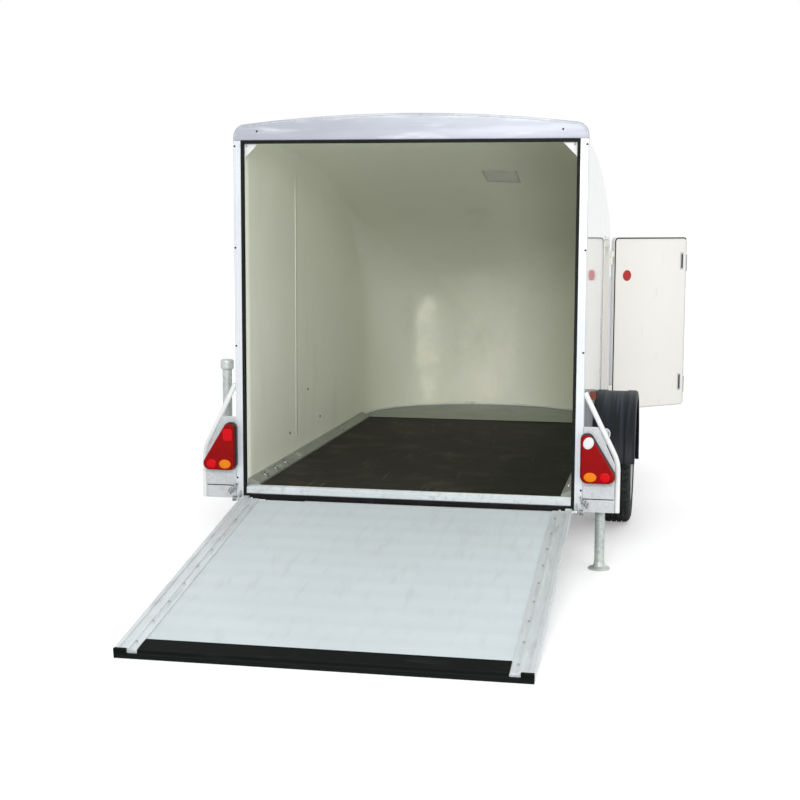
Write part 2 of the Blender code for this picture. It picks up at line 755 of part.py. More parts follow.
def make_floor_rail(side, name):
    """Cant rail between the floor's edge and the foot of a wall, with its lashing rings."""
    wall = side * (HALF_BODY - WALL - GAP)
    toe, ridge = wall - side * RAIL_WIDTH, wall - side * RAIL_FLAT
    outline = [(wall, -FLOOR_THICKNESS), (toe, -FLOOR_THICKNESS), (toe, RAIL_TOE),
               (ridge, RAIL_HEIGHT), (wall, RAIL_HEIGHT)]
    if side > 0:
        outline.reverse()
    start = REAR + SILL_DEPTH + GAP
    rail = plate(outline, along(FLOOR_LENGTH) - start - GAP, 'XZ', start)
    tilt = math.atan2(RAIL_HEIGHT - RAIL_TOE, RAIL_WIDTH - RAIL_FLAT)
    lift = RING_WIRE * RING_LIFT
    middle = (toe + ridge) / 2 - side * lift * math.sin(tilt)
    height = (RAIL_TOE + RAIL_HEIGHT) / 2 + lift * math.cos(tilt)
    for station in RING_STATIONS:
        ring = turned([(RING_RADIUS + RING_WIRE * math.cos(math.radians(a)),
                        RING_WIRE * math.sin(math.radians(a))) for a in range(0, 360, 60)], 12)
        ring.data.transform(Matrix.Translation((middle, along(station), height))
                            @ Matrix.Rotation(-side * tilt, 4, 'Y'))
        rail = fuse(rail, ring)
    keep(rail, f"floor_rail_{name}", ALUMINIUM)


# Chassis

def make_chassis_rail(side, name):
    x = side * MEMBER_SPREAD
    start = along(REAR_MEMBER_STATION) + MEMBER_WIDTH / 2 + GAP
    end = along(FRONT_MEMBER_STATION) - MEMBER_WIDTH / 2 - GAP
    piece = box((x - MEMBER_WIDTH / 2, start, MEMBER_LOW), (x + MEMBER_WIDTH / 2, end, MEMBER_TOP), 0.004)
    keep(piece, f"chassis_rail_{name}", GALVANISED)


def make_cross_members():
    for name, station, half in (("rear_cross_member", REAR_MEMBER_STATION, HALF_BODY),
                                ("front_cross_member", FRONT_MEMBER_STATION, HALF_BODY - WALL)):
        y = along(station)
        piece = box((-half, y - MEMBER_WIDTH / 2, MEMBER_LOW), (half, y + MEMBER_WIDTH / 2, MEMBER_TOP), 0.004)
        keep(piece, name, GALVANISED)


def arm_inner():
    """X of the swing arm's inner face, just outside the shell's wall."""
    return HALF_BODY + GAP


def make_axle():
    half = arm_inner() - GAP
    edge = BEAM_SIZE / 2
    beam = box((-half, BEAM_Y - edge, BEAM_Z - edge), (half, BEAM_Y + edge, BEAM_Z + edge), 0.005)
    keep(beam, "axle_beam", GALVANISED)


def make_swing_arm(side, name):
    """Trailing arm from the beam's end up to the stub axle that carries the wheel."""
    start = side * arm_inner()
    low = min(start, start + side * ARM_THICKNESS)
    beam, hub = Vector((BEAM_Y, BEAM_Z)), Vector((0.0, WHEEL_Z))
    lean = math.degrees(math.atan2(*(beam - hub).yx))
    outline = (arc(beam, ARM_BOSS, lean - 90, lean + 90, 6)
               + arc(hub, ARM_BOSS, lean + 90, lean + 270, 6))
    arm = plate(outline, ARM_THICKNESS, 'YZ', low)
    stub_end = side * (WHEEL_X + STUB_REACH)
    stub = rod((start + side * ARM_THICKNESS / 2, 0.0, WHEEL_Z), (stub_end, 0.0, WHEEL_Z), STUB_RADIUS, 20)
    keep(fuse(arm, stub), f"swing_arm_{name}", GALVANISED)


# Wheels

def tyre_profile():
    half, inner, outer = TYRE_WIDTH / 2, RIM_RADIUS + GAP, TYRE_RADIUS
    upper = [(inner, BEAD_HALF), (inner + BEAD_DEPTH, BEAD_HALF + BEAD_DEPTH),
             ((inner + outer) / 2, half), (outer - TREAD_EDGE, half * 0.94),
             (outer - TREAD_EDGE / 4, half * 0.80), (outer, half * 0.55)]
    return upper + [(r, -z) for r, z in reversed(upper)]


def rim_profile():
    """Barrel, dished disc and hub with its bore, from the outer axis point round to the inner."""
    bore, face = STUB_RADIUS + RUNNING, DISC_SET + DISC_THICKNESS
    corner = BEAD_HALF + 2 * GAP
    flange, lip = corner + RIM_FLANGE, corner + RIM_FLANGE + FLANGE_EDGE
    flange_radius = RIM_RADIUS + RIM_FLANGE
    outside = [(0.0, face + CAP_RISE), (CAP_RADIUS - CAP_EDGE, face + CAP_RISE),
               (CAP_RADIUS, face), (RIDGE_RADIUS - RIDGE_FOOT, face),
               (RIDGE_RADIUS, face + RIDGE_RISE), (DISC_RADIUS, face + CAP_EDGE),
               (RIM_RADIUS - 2 * BARREL_WALL, face + DISC_THICKNESS),
               (RIM_RADIUS - 1.5 * BARREL_WALL, corner - BARREL_WALL / 2),
               (flange_radius - FLANGE_EDGE, lip)]
    seat = [(flange_radius, flange), (RIM_RADIUS, corner), (RIM_RADIUS, -corner),
            (flange_radius, -flange)]
    inside = [(flange_radius - FLANGE_EDGE, -lip), (RIM_RADIUS - BARREL_WALL, -corner),
              (RIM_RADIUS - BARREL_WALL, DISC_SET - BARREL_WALL),
              (RIM_RADIUS - 2 * BARREL_WALL, DISC_SET), (DISC_RADIUS, DISC_SET + CAP_EDGE),
              (RIDGE_RADIUS, DISC_SET + RIDGE_RISE), (RIDGE_RADIUS - RIDGE_FOOT, DISC_SET),
              (HUB_RADIUS, DISC_SET), (HUB_RADIUS, -HUB_DEPTH), (bore, -HUB_DEPTH),
              (bore, HUB_BLIND), (0.0, HUB_BLIND)]
    return outside + seat + inside


def make_rim():
    """Turned rim with a ring of round ventilation holes through its disc."""
    holes = []
    for i in range(RIM_HOLES):
        angle = math.radians(360.0 * (i + 0.5) / RIM_HOLES)
        x, y = RIM_HOLE_CIRCLE * math.cos(angle), RIM_HOLE_CIRCLE * math.sin(angle)
        holes.append(rod((x, y, 0.0), (x, y, THROUGH), RIM_HOLE_RADIUS, 8))
    return cut(turned(rim_profile()), gather(holes))


def make_wheel(side, name):
    spin = joint_empty(f"wheel_{name}_axis", (side * WHEEL_X, 0.0, WHEEL_Z))
    tyre = lay_along_x(turned(tyre_profile()), side)
    rim = lay_along_x(make_rim(), side)
    keep(tyre, f"tyre_{name}", RUBBER, spin)
    keep(rim, f"wheel_rim_{name}", RIM_STEEL, spin)


def make_mudguard(side, name):
    """Arched plastic guard with a lip along both edges, bolted flat to the side wall."""
    inner = HALF_BODY + GAP
    radius = TYRE_RADIUS + GUARD_CLEARANCE
    outer = inner + GUARD_WIDTH
    edge = [(outer - GUARD_EDGE + x, radius - GUARD_EDGE + r) for x, r in
            arc((0.0, 0.0), GUARD_EDGE, 90, 0, 3)]
    profile = [(inner, radius - GUARD_LIP), (inner, radius), *edge, (outer, radius - GUARD_LIP)]
    edit = bmesh.new()
    verts = [edit.verts.new((side * x, r, 0.0)) for x, r in profile]
    edges = [edit.edges.new(pair) for pair in zip(verts, verts[1:])]
    bmesh.ops.rotate(edit, verts=edit.verts, cent=(0, 0, 0),
                     matrix=Matrix.Rotation(math.radians(GUARD_START_ANGLE), 3, 'X'))
    bmesh.ops.spin(edit, geom=verts + edges, cent=(0, 0, 0), axis=(1, 0, 0),
                   angle=math.radians(GUARD_END_ANGLE - GUARD_START_ANGLE), steps=GUARD_STEPS)
    bmesh.ops.recalc_face_normals(edit, faces=edit.faces)
    highest = max(edit.faces, key=lambda face: face.calc_center_median().z)
    if highest.normal.z < 0:
        bmesh.ops.reverse_faces(edit, faces=edit.faces)
    mesh = bpy.data.meshes.new("guard")
    edit.to_mesh(mesh)
    edit.free()
    mesh.transform(Matrix.Translation((0.0, 0.0, WHEEL_Z)))
    piece = from_mesh(mesh)
    solid = piece.modifiers.new("wall", 'SOLIDIFY')
    solid.thickness = GUARD_THICKNESS
    solid.offset = -1.0
    solid.use_even_offset = True
    piece = bake(piece)
    piece.data.shade_smooth()
    piece.data.set_sharp_from_angle(angle=math.radians(SHARP))
    keep(piece, f"mudguard_{name}", PLASTIC)


# Drawbar, coupling and jockey wheel

def coupling_z():
    return GROUND + COUPLING_HEIGHT


def drawbar_knees(side):
    """Bend below the nose and the start of the level run beside the coupling's shank."""
    low = MEMBER_LOW - GAP - DRAWBAR_RADIUS
    spread = COUPLING_WIDTH / 2 + DRAWBAR_RADIUS + GAP
    end = along(COUPLING_STATION) - COUPLING_LENGTH + 2 * SHANK_OVERLAP
    return (Vector((side * DRAWBAR_BEND_SPREAD, along(DRAWBAR_BEND), low)),
            Vector((side * spread, end - DRAWBAR_STRAIGHT, coupling_z() - DRAWBAR_DROP)))


def make_drawbar(side, name):
    """One leg of the V drawbar, from under the chassis to the coupling."""
    bend, level = drawbar_knees(side)
    points = [(side * MEMBER_SPREAD, along(DRAWBAR_START), bend.z),
              (side * (MEMBER_SPREAD - DRAWBAR_TOE), along(FRONT_MEMBER_STATION), bend.z),
              bend, level, level + Vector((0.0, DRAWBAR_STRAIGHT, 0.0))]
    keep(tube(points, DRAWBAR_RADIUS), f"drawbar_{name}", GALVANISED)


def make_coupling():
    """Pressed coupling: shank between the drawbar legs, hollow ball cup and hand lever."""
    z = coupling_z()
    ball = along(COUPLING_STATION)
    half = COUPLING_WIDTH / 2
    low, top = z - COUPLING_LOW, z + COUPLING_TOP
    shank = box((-half, ball - COUPLING_LENGTH, low), (half, ball, top), 0.006)
    head = rod((0.0, ball, low), (0.0, ball, top + 0.004), COUPLING_RADIUS, 24)
    dome = arc((0.0, 0.0), (COUPLING_RADIUS - 0.004, COUPLING_CROWN), 90, 15, 4)
    cap = turned([*dome, (COUPLING_RADIUS - 0.004, 0.0), (0.0, 0.0)], 24)
    cap.data.transform(Matrix.Translation((0.0, ball, z)))
    cup = rod((0.0, ball, low - BALL_ROOM), (0.0, ball, z + BALL_ROOM_TOP), BALL_ROOM, 20)
    pivot = Vector((0.0, ball - COUPLING_RADIUS, z + LEVER_RADIUS))
    lever_path = [pivot, pivot + Vector((0.0, -0.035, 0.045)), pivot + Vector((0.0, -0.150, 0.070))]
    body = fuse(shank, head, cap, tube(lever_path, LEVER_RADIUS))
    keep(cut(body, cup), "coupling_head", GALVANISED)


def jockey_axis():
    return JOCKEY_SIDE, along(JOCKEY_STATION)


def drawbar_at(station):
    """Centre of the left drawbar leg at a station past the bend."""
    start, end = drawbar_knees(-1.0)
    share = (along(station) - start.y) / (end.y - start.y)
    return start.lerp(end, share)


def make_jockey_tube():
    """Outer tube of the jockey, its crank and the clamp that grips the left drawbar leg."""
    x, y = jockey_axis()
    foot, length = GROUND + JOCKEY_OUTER_FOOT, JOCKEY_OUTER_LENGTH
    bore = JOCKEY_INNER + RUNNING
    sleeve = turned([(0.0, length), (JOCKEY_OUTER, length), (JOCKEY_OUTER, 0.0), (bore, 0.0),
                     (bore, length - TUBE_LID), (0.0, length - TUBE_LID)], 20)
    sleeve.data.transform(Matrix.Translation((x, y, foot)))
    top = foot + length
    rise = top + CRANK_RISE
    crank = tube([(x, y, top - TUBE_LID / 2), (x, y, rise), (x, y - CRANK_LENGTH, rise),
                  (x, y - CRANK_LENGTH, rise + CRANK_HANDLE)], CRANK_RADIUS)
    bar = drawbar_at(JOCKEY_STATION)
    half = CLAMP_LENGTH / 2
    block = box((x + JOCKEY_OUTER * 0.8, y - half, bar.z - half), (bar.x, y + half, bar.z + half), 0.003)
    ahead, behind = drawbar_at(JOCKEY_STATION + THROUGH), drawbar_at(JOCKEY_STATION - THROUGH)
    block = cut(block, tube([behind, ahead], DRAWBAR_RADIUS + 2 * GAP))
    keep(fuse(sleeve, block, crank), "jockey_tube", GALVANISED)


def make_jockey():
    """Sliding inner tube, swivelling fork and castor wheel."""
    x, y = jockey_axis()
    slide = joint_empty("jockey_axis", (x, y, GROUND))
    fork_top = FORK_HEIGHT
    inner_top = JOCKEY_OUTER_FOOT + JOCKEY_OVERLAP
    inner = rod((0, 0, fork_top + GAP), (0, 0, inner_top), JOCKEY_INNER, 20)
    keep(inner, "jockey_inner_tube", GALVANISED, slide)

    axle_z, side = JOCKEY_WHEEL_RADIUS, JOCKEY_WHEEL_WIDTH / 2 + CLEAR
    reach = side + FORK_PLATE
    front, back = FORK_FRONT, -JOCKEY_TRAIL - FORK_BACK
    fork = box((-reach, back, fork_top - FORK_PLATE), (reach, front, fork_top))
    cheek = [(front, fork_top - FORK_PLATE / 2), (back, fork_top - FORK_PLATE / 2),
             *arc((-JOCKEY_TRAIL, axle_z), FORK_FOOT, 190, 350, 5)]
    for level in (side, -reach):
        fork = fuse(fork, plate(cheek, FORK_PLATE, 'YZ', level))
    pin_end = reach + PIN_PROUD
    pin = rod((-pin_end, -JOCKEY_TRAIL, axle_z), (pin_end, -JOCKEY_TRAIL, axle_z), JOCKEY_PIN, 12)
    keep(fuse(fork, pin), "jockey_fork", GALVANISED, slide)

    radius, half, bore = JOCKEY_WHEEL_RADIUS, JOCKEY_WHEEL_WIDTH / 2, JOCKEY_PIN + RUNNING
    web = half - JOCKEY_WEB
    outer = [(bore, half), (JOCKEY_HUB, half), (JOCKEY_HUB + JOCKEY_EDGE, web),
             (radius - JOCKEY_TREAD - JOCKEY_EDGE, web), (radius - JOCKEY_TREAD, half),
             (radius - JOCKEY_EDGE, half), (radius, half - JOCKEY_EDGE)]
    wheel = lay_along_x(turned(outer + [(r, -z) for r, z in reversed(outer)], 24))
    spin = joint_empty("jockey_wheel_axis", (0.0, -JOCKEY_TRAIL, axle_z))
    spin.parent = slide
    keep(wheel, "jockey_wheel", RUBBER, spin)


# Prop stands

def make_stand(side, name):
    """Round prop stand: the right one stands on the ground, the left one is lifted."""
    lift = 0.0 if side > 0 else STAND_LIFT
    y = along(REAR_MEMBER_STATION)
    place = joint_empty(f"stand_{name}_axis", (side * STAND_SIDE, y, GROUND + lift))
    low_cap, edge = STAND_LENGTH - STAND_CAP_HEIGHT, STAND_CAP_EDGE
    leg = turned([(0.0, STAND_LENGTH), (STAND_CAP_RADIUS - 2 * edge, STAND_LENGTH),
                  (STAND_CAP_RADIUS, STAND_LENGTH - 2 * edge), (STAND_CAP_RADIUS, low_cap),
                  (STAND_RADIUS, low_cap - edge), (STAND_RADIUS, STAND_ANKLE),
                  (STAND_ANKLE_RADIUS, STAND_FOOT_HEIGHT + edge),
                  (STAND_FOOT_RADIUS - edge, STAND_FOOT_HEIGHT),
                  (STAND_FOOT_RADIUS, STAND_FOOT_HEIGHT - edge), (STAND_FOOT_RADIUS, 0.0), (0.0, 0.0)], 24)
    keep(leg, f"prop_stand_{name}", GALVANISED, place)

    bore, outer = STAND_RADIUS + RUNNING, STAND_RADIUS + SLEEVE_WALL
    x = side * STAND_SIDE
    sleeve = turned([(outer, SLEEVE_TOP), (outer, SLEEVE_LOW), (bore, SLEEVE_LOW), (bore, SLEEVE_TOP)], 24)
    sleeve.data.transform(Matrix.Translation((x, y, 0.0)))
    middle = (SLEEVE_LOW + SLEEVE_TOP) / 2
    root = HALF_BODY + GAP
    xs = sorted((side * root, side * (root + CLAMP_PLATE)))
    half = CLAMP_PLATE_WIDTH / 2
    back = box((xs[0], y - half, MEMBER_LOW), (xs[1], y + half, SLEEVE_TOP))
    xs = sorted((side * (root + CLAMP_PLATE / 2), side * (STAND_SIDE - outer + SLEEVE_WALL / 2)))
    arm = box((xs[0], y - outer / 2, middle - CLAMP_ARM / 2), (xs[1], y + outer / 2, middle + CLAMP_ARM / 2))
    start, end = y + outer - SLEEVE_WALL / 2, y + outer + CLAMP_SCREW_LENGTH
    screw = rod((x, start, middle), (x, end, middle), CLAMP_SCREW_RADIUS, 10)
    grip_y = end - CLAMP_SCREW_RADIUS
    grip = rod((x - CLAMP_GRIP / 2, grip_y, middle), (x + CLAMP_GRIP / 2, grip_y, middle),
               CLAMP_SCREW_RADIUS * 0.6, 8)
    keep(fuse(sleeve, arm, back, screw, grip), f"stand_clamp_{name}", GALVANISED)


# Lamp brackets, braces and lamps

def brace_side_at(height):
    """Distance of the brace's centre from the middle plane at a height."""
    if height <= BRACE_KNEE:
        return BRACE_SIDE
    top = HALF_FRAME + BRACE_RADIUS + GAP
    share = (height - BRACE_KNEE) / (BRACE_TOP - BRACE_KNEE)
    return BRACE_SIDE + share * (top - BRACE_SIDE)


def make_bracket(side, name):
    """Galvanised plate behind the lamp on a box that reaches out from the post."""
    start = HALF_FRAME + GAP
    box_end = BRACE_SIDE - BRACE_RADIUS - GAP
    slope = (BRACE_SIDE - HALF_FRAME - BRACE_RADIUS) / (BRACE_TOP - BRACE_KNEE)
    offset = BRACE_RADIUS * math.hypot(1.0, slope) + 3 * GAP
    foot = BRACKET_BOX_HIGH - BRACKET_PLATE
    outline = [(start, foot), (box_end, foot),
               (box_end, BRACE_KNEE - BRACE_RADIUS), (brace_side_at(BRACKET_TOP) - offset, BRACKET_TOP),
               (start, BRACKET_TOP)]
    outline = [(side * x, z) for x, z in outline]
    if side < 0:
        outline.reverse()
    back = plate(outline, BRACKET_PLATE, 'XZ', REAR)
    xs = sorted((side * start, side * box_end))
    beam = box((xs[0], REAR, BRACKET_BOX_LOW), (xs[1], REAR + BRACKET_BOX_DEPTH, BRACKET_BOX_HIGH))
    keep(fuse(beam, back), f"lamp_bracket_{name}", GALVANISED)

    y = REAR + BRACE_SET_IN
    path = [(side * brace_side_at(z), y, z) for z in (BRACE_TOP, BRACE_KNEE, BRACKET_BOX_LOW)]
    keep(tube(path, BRACE_RADIUS), f"lamp_brace_{name}", PAINTED)


def lamp_outline(side, margin):
    """Lamp seen from behind: upright inner side, slanted outer side, rounded corners."""
    x0 = HALF_FRAME + LAMP_SET_OUT + margin
    radius = LAMP_CORNER - margin
    low, high = LAMP_LOW + margin, LAMP_HIGH - margin
    wide, narrow = LAMP_WIDTH - 2 * margin, LAMP_TOP_WIDTH - 2 * margin
    lean = math.degrees(math.atan2(wide - narrow, high - low))
    points = (arc((x0 + radius, low + radius), radius, 180, 270, 3)
              + arc((x0 + wide - radius, low + radius), radius, -90, lean, 4)
              + arc((x0 + narrow - radius, high - radius), radius, lean, 90, 3)
              + arc((x0 + radius, high - radius), radius, 90, 180, 3))
    points = [(side * x, z) for x, z in points]
    if side < 0:
        points.reverse()
    return points


def make_lamp(side, name):
    back = REAR - GAP
    housing = plate(lamp_outline(side, 0.0), HOUSING_DEPTH, 'XZ', back - HOUSING_DEPTH)
    keep(bevel(housing, HOUSING_EDGE), f"tail_lamp_housing_{name}", PLASTIC)
    front = back - HOUSING_DEPTH - GAP
    lens = bevel(plate(lamp_outline(side, LENS_MARGIN), LENS_DEPTH, 'XZ', front - LENS_DEPTH), LENS_EDGE)
    face = front - LENS_DEPTH
    domes = [AMBER_PLACE] + ([CLEAR_PLACE] if side > 0 else [])
    for out, up in domes:
        dome = turned([(0.0, SMALL_LENS_DEPTH), (SMALL_LENS_RADIUS * 0.7, SMALL_LENS_DEPTH * 0.8),
                       (SMALL_LENS_RADIUS, 0.0), (SMALL_LENS_RADIUS, -SMALL_LENS_DEPTH),
                       (0.0, -SMALL_LENS_DEPTH)], 20)
        x = side * (HALF_FRAME + LAMP_SET_OUT + out)
        dome.data.transform(Matrix.Translation((x, face, LAMP_LOW + up))
                            @ Matrix.Rotation(math.radians(90.0), 4, 'X'))
        lens = fuse(lens, dome)
    keep(lens, f"tail_lamp_lens_{name}", RED_LENS)


# Ramp

def ramp_hinge():
    """Y and Z of the ramp's hinge axis."""
    back = SEAL_PROUD + CLEAR + RAMP_SURFACE + RAMP_RAIL_RISE
    return REAR - back, GROUND + RAMP_HINGE_HEIGHT


def ramp_underside():
    return RAMP_SURFACE + RAMP_RAIL_RISE - RAMP_RAIL_DEPTH


def ramp_slope():
    """Angle below the horizontal at which the ramp's tip rests on the ground."""
    under = -ramp_underside()
    reach = math.hypot(RAMP_LENGTH, under)
    return math.asin(RAMP_HINGE_HEIGHT / reach) - math.atan2(under, RAMP_LENGTH)


def make_ramp():
    """Ramp in its own frame: X across, -Y from the hinge to the tip, Z out of the deck."""
    axis = joint_empty("ramp_axis", (0.0, *ramp_hinge()), (ramp_slope(), 0.0, 0.0))
    half, rail = RAMP_WIDTH / 2, RAMP_RAIL_WIDTH
    tip = -RAMP_LENGTH + TIP_THICKNESS
    deck_half = half - rail - GAP
    deck = box((-deck_half, tip + GAP, RAMP_SURFACE - RAMP_DECK), (deck_half, -RAMP_START, RAMP_SURFACE))
    keep(deck, "ramp_deck", DECKING, axis)

    top, low = RAMP_SURFACE + RAMP_RAIL_RISE, ramp_underside()
    groove = RAMP_SURFACE + RAMP_RAIL_RISE / 2
    for side, name in ((-1.0, "left"), (1.0, "right")):
        step, near, far = (rail * share for share in (RAIL_STEP, *RAIL_GROOVE))
        outline = [(0.0, low), (rail, low), (rail, top), (far, top), (far, groove), (near, groove),
                   (near, top), (step, top), (step, groove), (0.0, groove)]
        outline = [(side * (half - rail + x), z) for x, z in outline]
        if side < 0:
            outline.reverse()
        length = RAMP_LENGTH - TIP_THICKNESS - RAMP_START - GAP
        beam = plate(outline, length, 'XZ', tip + GAP)
        xs = sorted((side * half, side * (half - step)))
        lug = box((xs[0], -RAMP_START - HINGE_LUG, low), (xs[1], 0.0, HINGE_EYE_RADIUS))
        eye = rod((xs[0], 0.0, 0.0), (xs[1], 0.0, 0.0), HINGE_EYE_RADIUS, 16)
        pin_end = side * (HINGE_SIDE + HINGE_PLATE)
        pin = rod((side * (half - step / 2), 0.0, 0.0), (pin_end, 0.0, 0.0), HINGE_PIN_RADIUS, 12)
        keep(fuse(beam, lug, eye, pin), f"ramp_rail_{name}", ALUMINIUM, axis)

    flap_half = deck_half - FLAP_MARGIN
    flap_low = RAMP_SURFACE + GAP
    flap_top, foot = flap_low + FLAP_THICKNESS, low + TIP_HEIGHT
    front = -RAMP_LENGTH + GAP
    outline = [(front, foot - FLAP_THICKNESS), (tip - FLAP_MARGIN, foot - FLAP_THICKNESS),
               (tip - FLAP_MARGIN, flap_low), (-RAMP_LENGTH + FLAP_LENGTH, flap_low),
               (-RAMP_LENGTH + FLAP_LENGTH, flap_top), (front + FLAP_SLOPE, flap_top),
               (front, foot - FLAP_MARGIN)]
    flap = plate(outline, 2 * flap_half, 'YZ', -flap_half)
    cap = half - rail * END_CAP
    outline = [(-half, low), (half, low), (half, top), (cap, top), (cap, foot), (-cap, foot),
               (-cap, top), (-half, top)]
    edge = plate(outline, TIP_THICKNESS, 'XZ', -RAMP_LENGTH)
    keep(fuse(edge, flap), "ramp_flap", RUBBER, axis)


def make_ramp_hinge(side, name):
    """Hinge plate on the post's foot with a hole for the ramp's pin."""
    y, z = ramp_hinge()
    outline = [(REAR - GAP, z - HINGE_EYE_RADIUS), (REAR - GAP, z + HINGE_PLATE_RISE)]
    outline += arc((y, z), HINGE_EYE_RADIUS, 75, 270, 8)
    level = side * HINGE_SIDE - HINGE_PLATE / 2
    piece = plate(outline, HINGE_PLATE, 'YZ', level)
    hole = rod((level - HINGE_PLATE, y, z), (level + 2 * HINGE_PLATE, y, z), HINGE_PIN_RADIUS + RUNNING, 16)
    keep(cut(piece, hole), f"ramp_hinge_{name}", GALVANISED)


# Side door

def door_axis():
    return HALF_BODY + DOOR_FRAME_PROUD + CLEAR + DOOR_SEAL_THICKNESS, along(DOOR_HINGE_STATION)


def make_door_frame():
    """Frame that lines the door opening, with a flange outside and its hinge halves."""
    opening = door_outline(-DOOR_OVERLAP - DOOR_FRAME_WIDTH)
    start = HALF_BODY + GAP
    inside = HALF_BODY - WALL - DOOR_FRAME_LIP
    flange = cut(plate(door_outline(-DOOR_OVERLAP + DOOR_FRAME_FLANGE), DOOR_FRAME_PROUD - GAP, 'YZ', start),
                 plate(opening, 2 * THROUGH, 'YZ', start - THROUGH))
    liner = cut(plate(door_outline(-DOOR_OVERLAP - GAP), start + DOOR_FRAME_LIP / 4 - inside, 'YZ', inside),
                plate(opening, 2 * THROUGH, 'YZ', start - THROUGH))
    frame = fuse(flange, liner)
    x, y = door_axis()
    for height in (DOOR_BOTTOM + HINGE_INSET, door_top() - HINGE_INSET):
        barrel = rod((x, y, height - KNUCKLE_HEIGHT), (x, y, height - GAP), KNUCKLE_RADIUS, 12)
        leaf_front = y - DOOR_SETBACK - DOOR_OVERLAP
        strap = box((HALF_BODY + GAP, leaf_front - HINGE_STRAP, height - KNUCKLE_HEIGHT),
                    (HALF_BODY + DOOR_FRAME_PROUD - GAP, y, height - GAP))
        neck = box((HALF_BODY + DOOR_FRAME_PROUD / 2, y - KNUCKLE_NECK, height - KNUCKLE_HEIGHT),
                   (x, y + KNUCKLE_NECK, height - GAP))
        frame = fuse(frame, strap, neck, barrel)
    keep(frame, "side_door_frame", ALUMINIUM)


def make_side_door():
    """Leaf, seal and latches in the frame of the closed door, hung on the hinge axis."""
    x, y = door_axis()
    axis = joint_empty("side_door_axis", (x, y, 0.0), (0.0, 0.0, math.radians(DOOR_OPEN)))

    def outline(margin):
        return [(v - y, z) for v, z in door_outline(margin)]

    leaf = bevel(plate(outline(0.0), DOOR_THICKNESS, 'YZ', 0.0), LEAF_EDGE)
    for height in (DOOR_BOTTOM + HINGE_INSET, door_top() - HINGE_INSET):
        barrel = rod((0, 0, height + GAP), (0, 0, height + KNUCKLE_HEIGHT), KNUCKLE_RADIUS, 12)
        strap = box((GAP, -DOOR_SETBACK - HINGE_STRAP, height + GAP),
                    (GAP + HINGE_STRAP, 0.0, height + KNUCKLE_HEIGHT))
        leaf = fuse(leaf, strap, barrel)
    keep(leaf, "side_door_leaf", POLYESTER, axis)

    thick = DOOR_SEAL_THICKNESS - GAP
    seal = cut(plate(outline(-LEAF_EDGE), thick, 'YZ', -DOOR_SEAL_THICKNESS),
               plate(outline(-LEAF_EDGE - DOOR_SEAL_WIDTH), 3 * thick, 'YZ', -2 * DOOR_SEAL_THICKNESS))
    keep(seal, "side_door_seal", RUBBER, axis)

    edge = -DOOR_SETBACK - DOOR_WIDTH
    for height, name in ((DOOR_BOTTOM + LATCH_LOW_INSET, "lower"), (door_top() - LATCH_TOP_INSET, "upper")):
        low, high = height - LATCH_SIZE / 2, height + LATCH_SIZE / 2
        wrap, outside = edge - GAP, DOOR_THICKNESS + GAP
        face = box((outside, wrap - LATCH_PLATE, low), (outside + LATCH_FACE, wrap + LATCH_REACH, high))
        side_plate = box((GAP, wrap - LATCH_PLATE, low), (outside + LATCH_FACE / 2, wrap, high))
        first, last, half = LATCH_HANDLE
        handle = box((outside + LATCH_FACE / 2, wrap + first, height - half),
                     (outside + LATCH_HANDLE_RISE, wrap + last, height + half), LATCH_PLATE)
        keep(fuse(face, side_plate, handle), f"side_door_latch_{name}", PLASTIC, axis)


def build():
    make_roof_and_nose()
    both_sides(make_side_wall)
    both_sides(make_post)
    make_header()
    both_sides(make_gusset)
    make_opening_seal()
    make_sill()
    make_floor()
    make_nose_plate()
    both_sides(make_floor_rail)
    both_sides(make_chassis_rail)
    make_cross_members()
    make_axle()
    both_sides(make_swing_arm)
    both_sides(make_wheel)
    both_sides(make_mudguard)
    both_sides(make_drawbar)
    make_coupling()
    make_jockey_tube()
    make_jockey()
    both_sides(make_stand)
    both_sides(make_bracket)
    both_sides(make_lamp)
    make_ramp()
    both_sides(make_ramp_hinge)
    make_door_frame()
    make_side_door()


build()
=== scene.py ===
"""Looks of the single-axle enclosed cargo trailer: camera, light, surfaces and small detail."""
import math

import bmesh
import bpy
import numpy as np
from mathutils import Matrix, Vector


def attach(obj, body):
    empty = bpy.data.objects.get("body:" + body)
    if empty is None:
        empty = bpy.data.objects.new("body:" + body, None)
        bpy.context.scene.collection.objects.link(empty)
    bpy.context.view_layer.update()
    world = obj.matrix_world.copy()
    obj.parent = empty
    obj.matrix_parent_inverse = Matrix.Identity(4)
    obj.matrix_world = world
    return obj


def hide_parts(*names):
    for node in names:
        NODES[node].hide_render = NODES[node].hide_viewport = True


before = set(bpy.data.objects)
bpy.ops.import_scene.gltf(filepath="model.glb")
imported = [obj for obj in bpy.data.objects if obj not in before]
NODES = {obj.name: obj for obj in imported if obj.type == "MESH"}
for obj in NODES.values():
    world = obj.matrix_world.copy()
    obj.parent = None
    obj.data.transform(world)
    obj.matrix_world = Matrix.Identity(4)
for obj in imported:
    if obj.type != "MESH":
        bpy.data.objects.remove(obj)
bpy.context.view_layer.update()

# Camera, solved from measured points of the photograph
CAMERA_PLACE = (1.08284, -6.79128, 1.08378)
CAMERA_YAW = 0.19129
CAMERA_PITCH = -0.12169
CAMERA_ROLL = 0.0039
FOCAL_PIXELS = 1473.615
FRAME_PIXELS = 800
SENSOR = 36.0

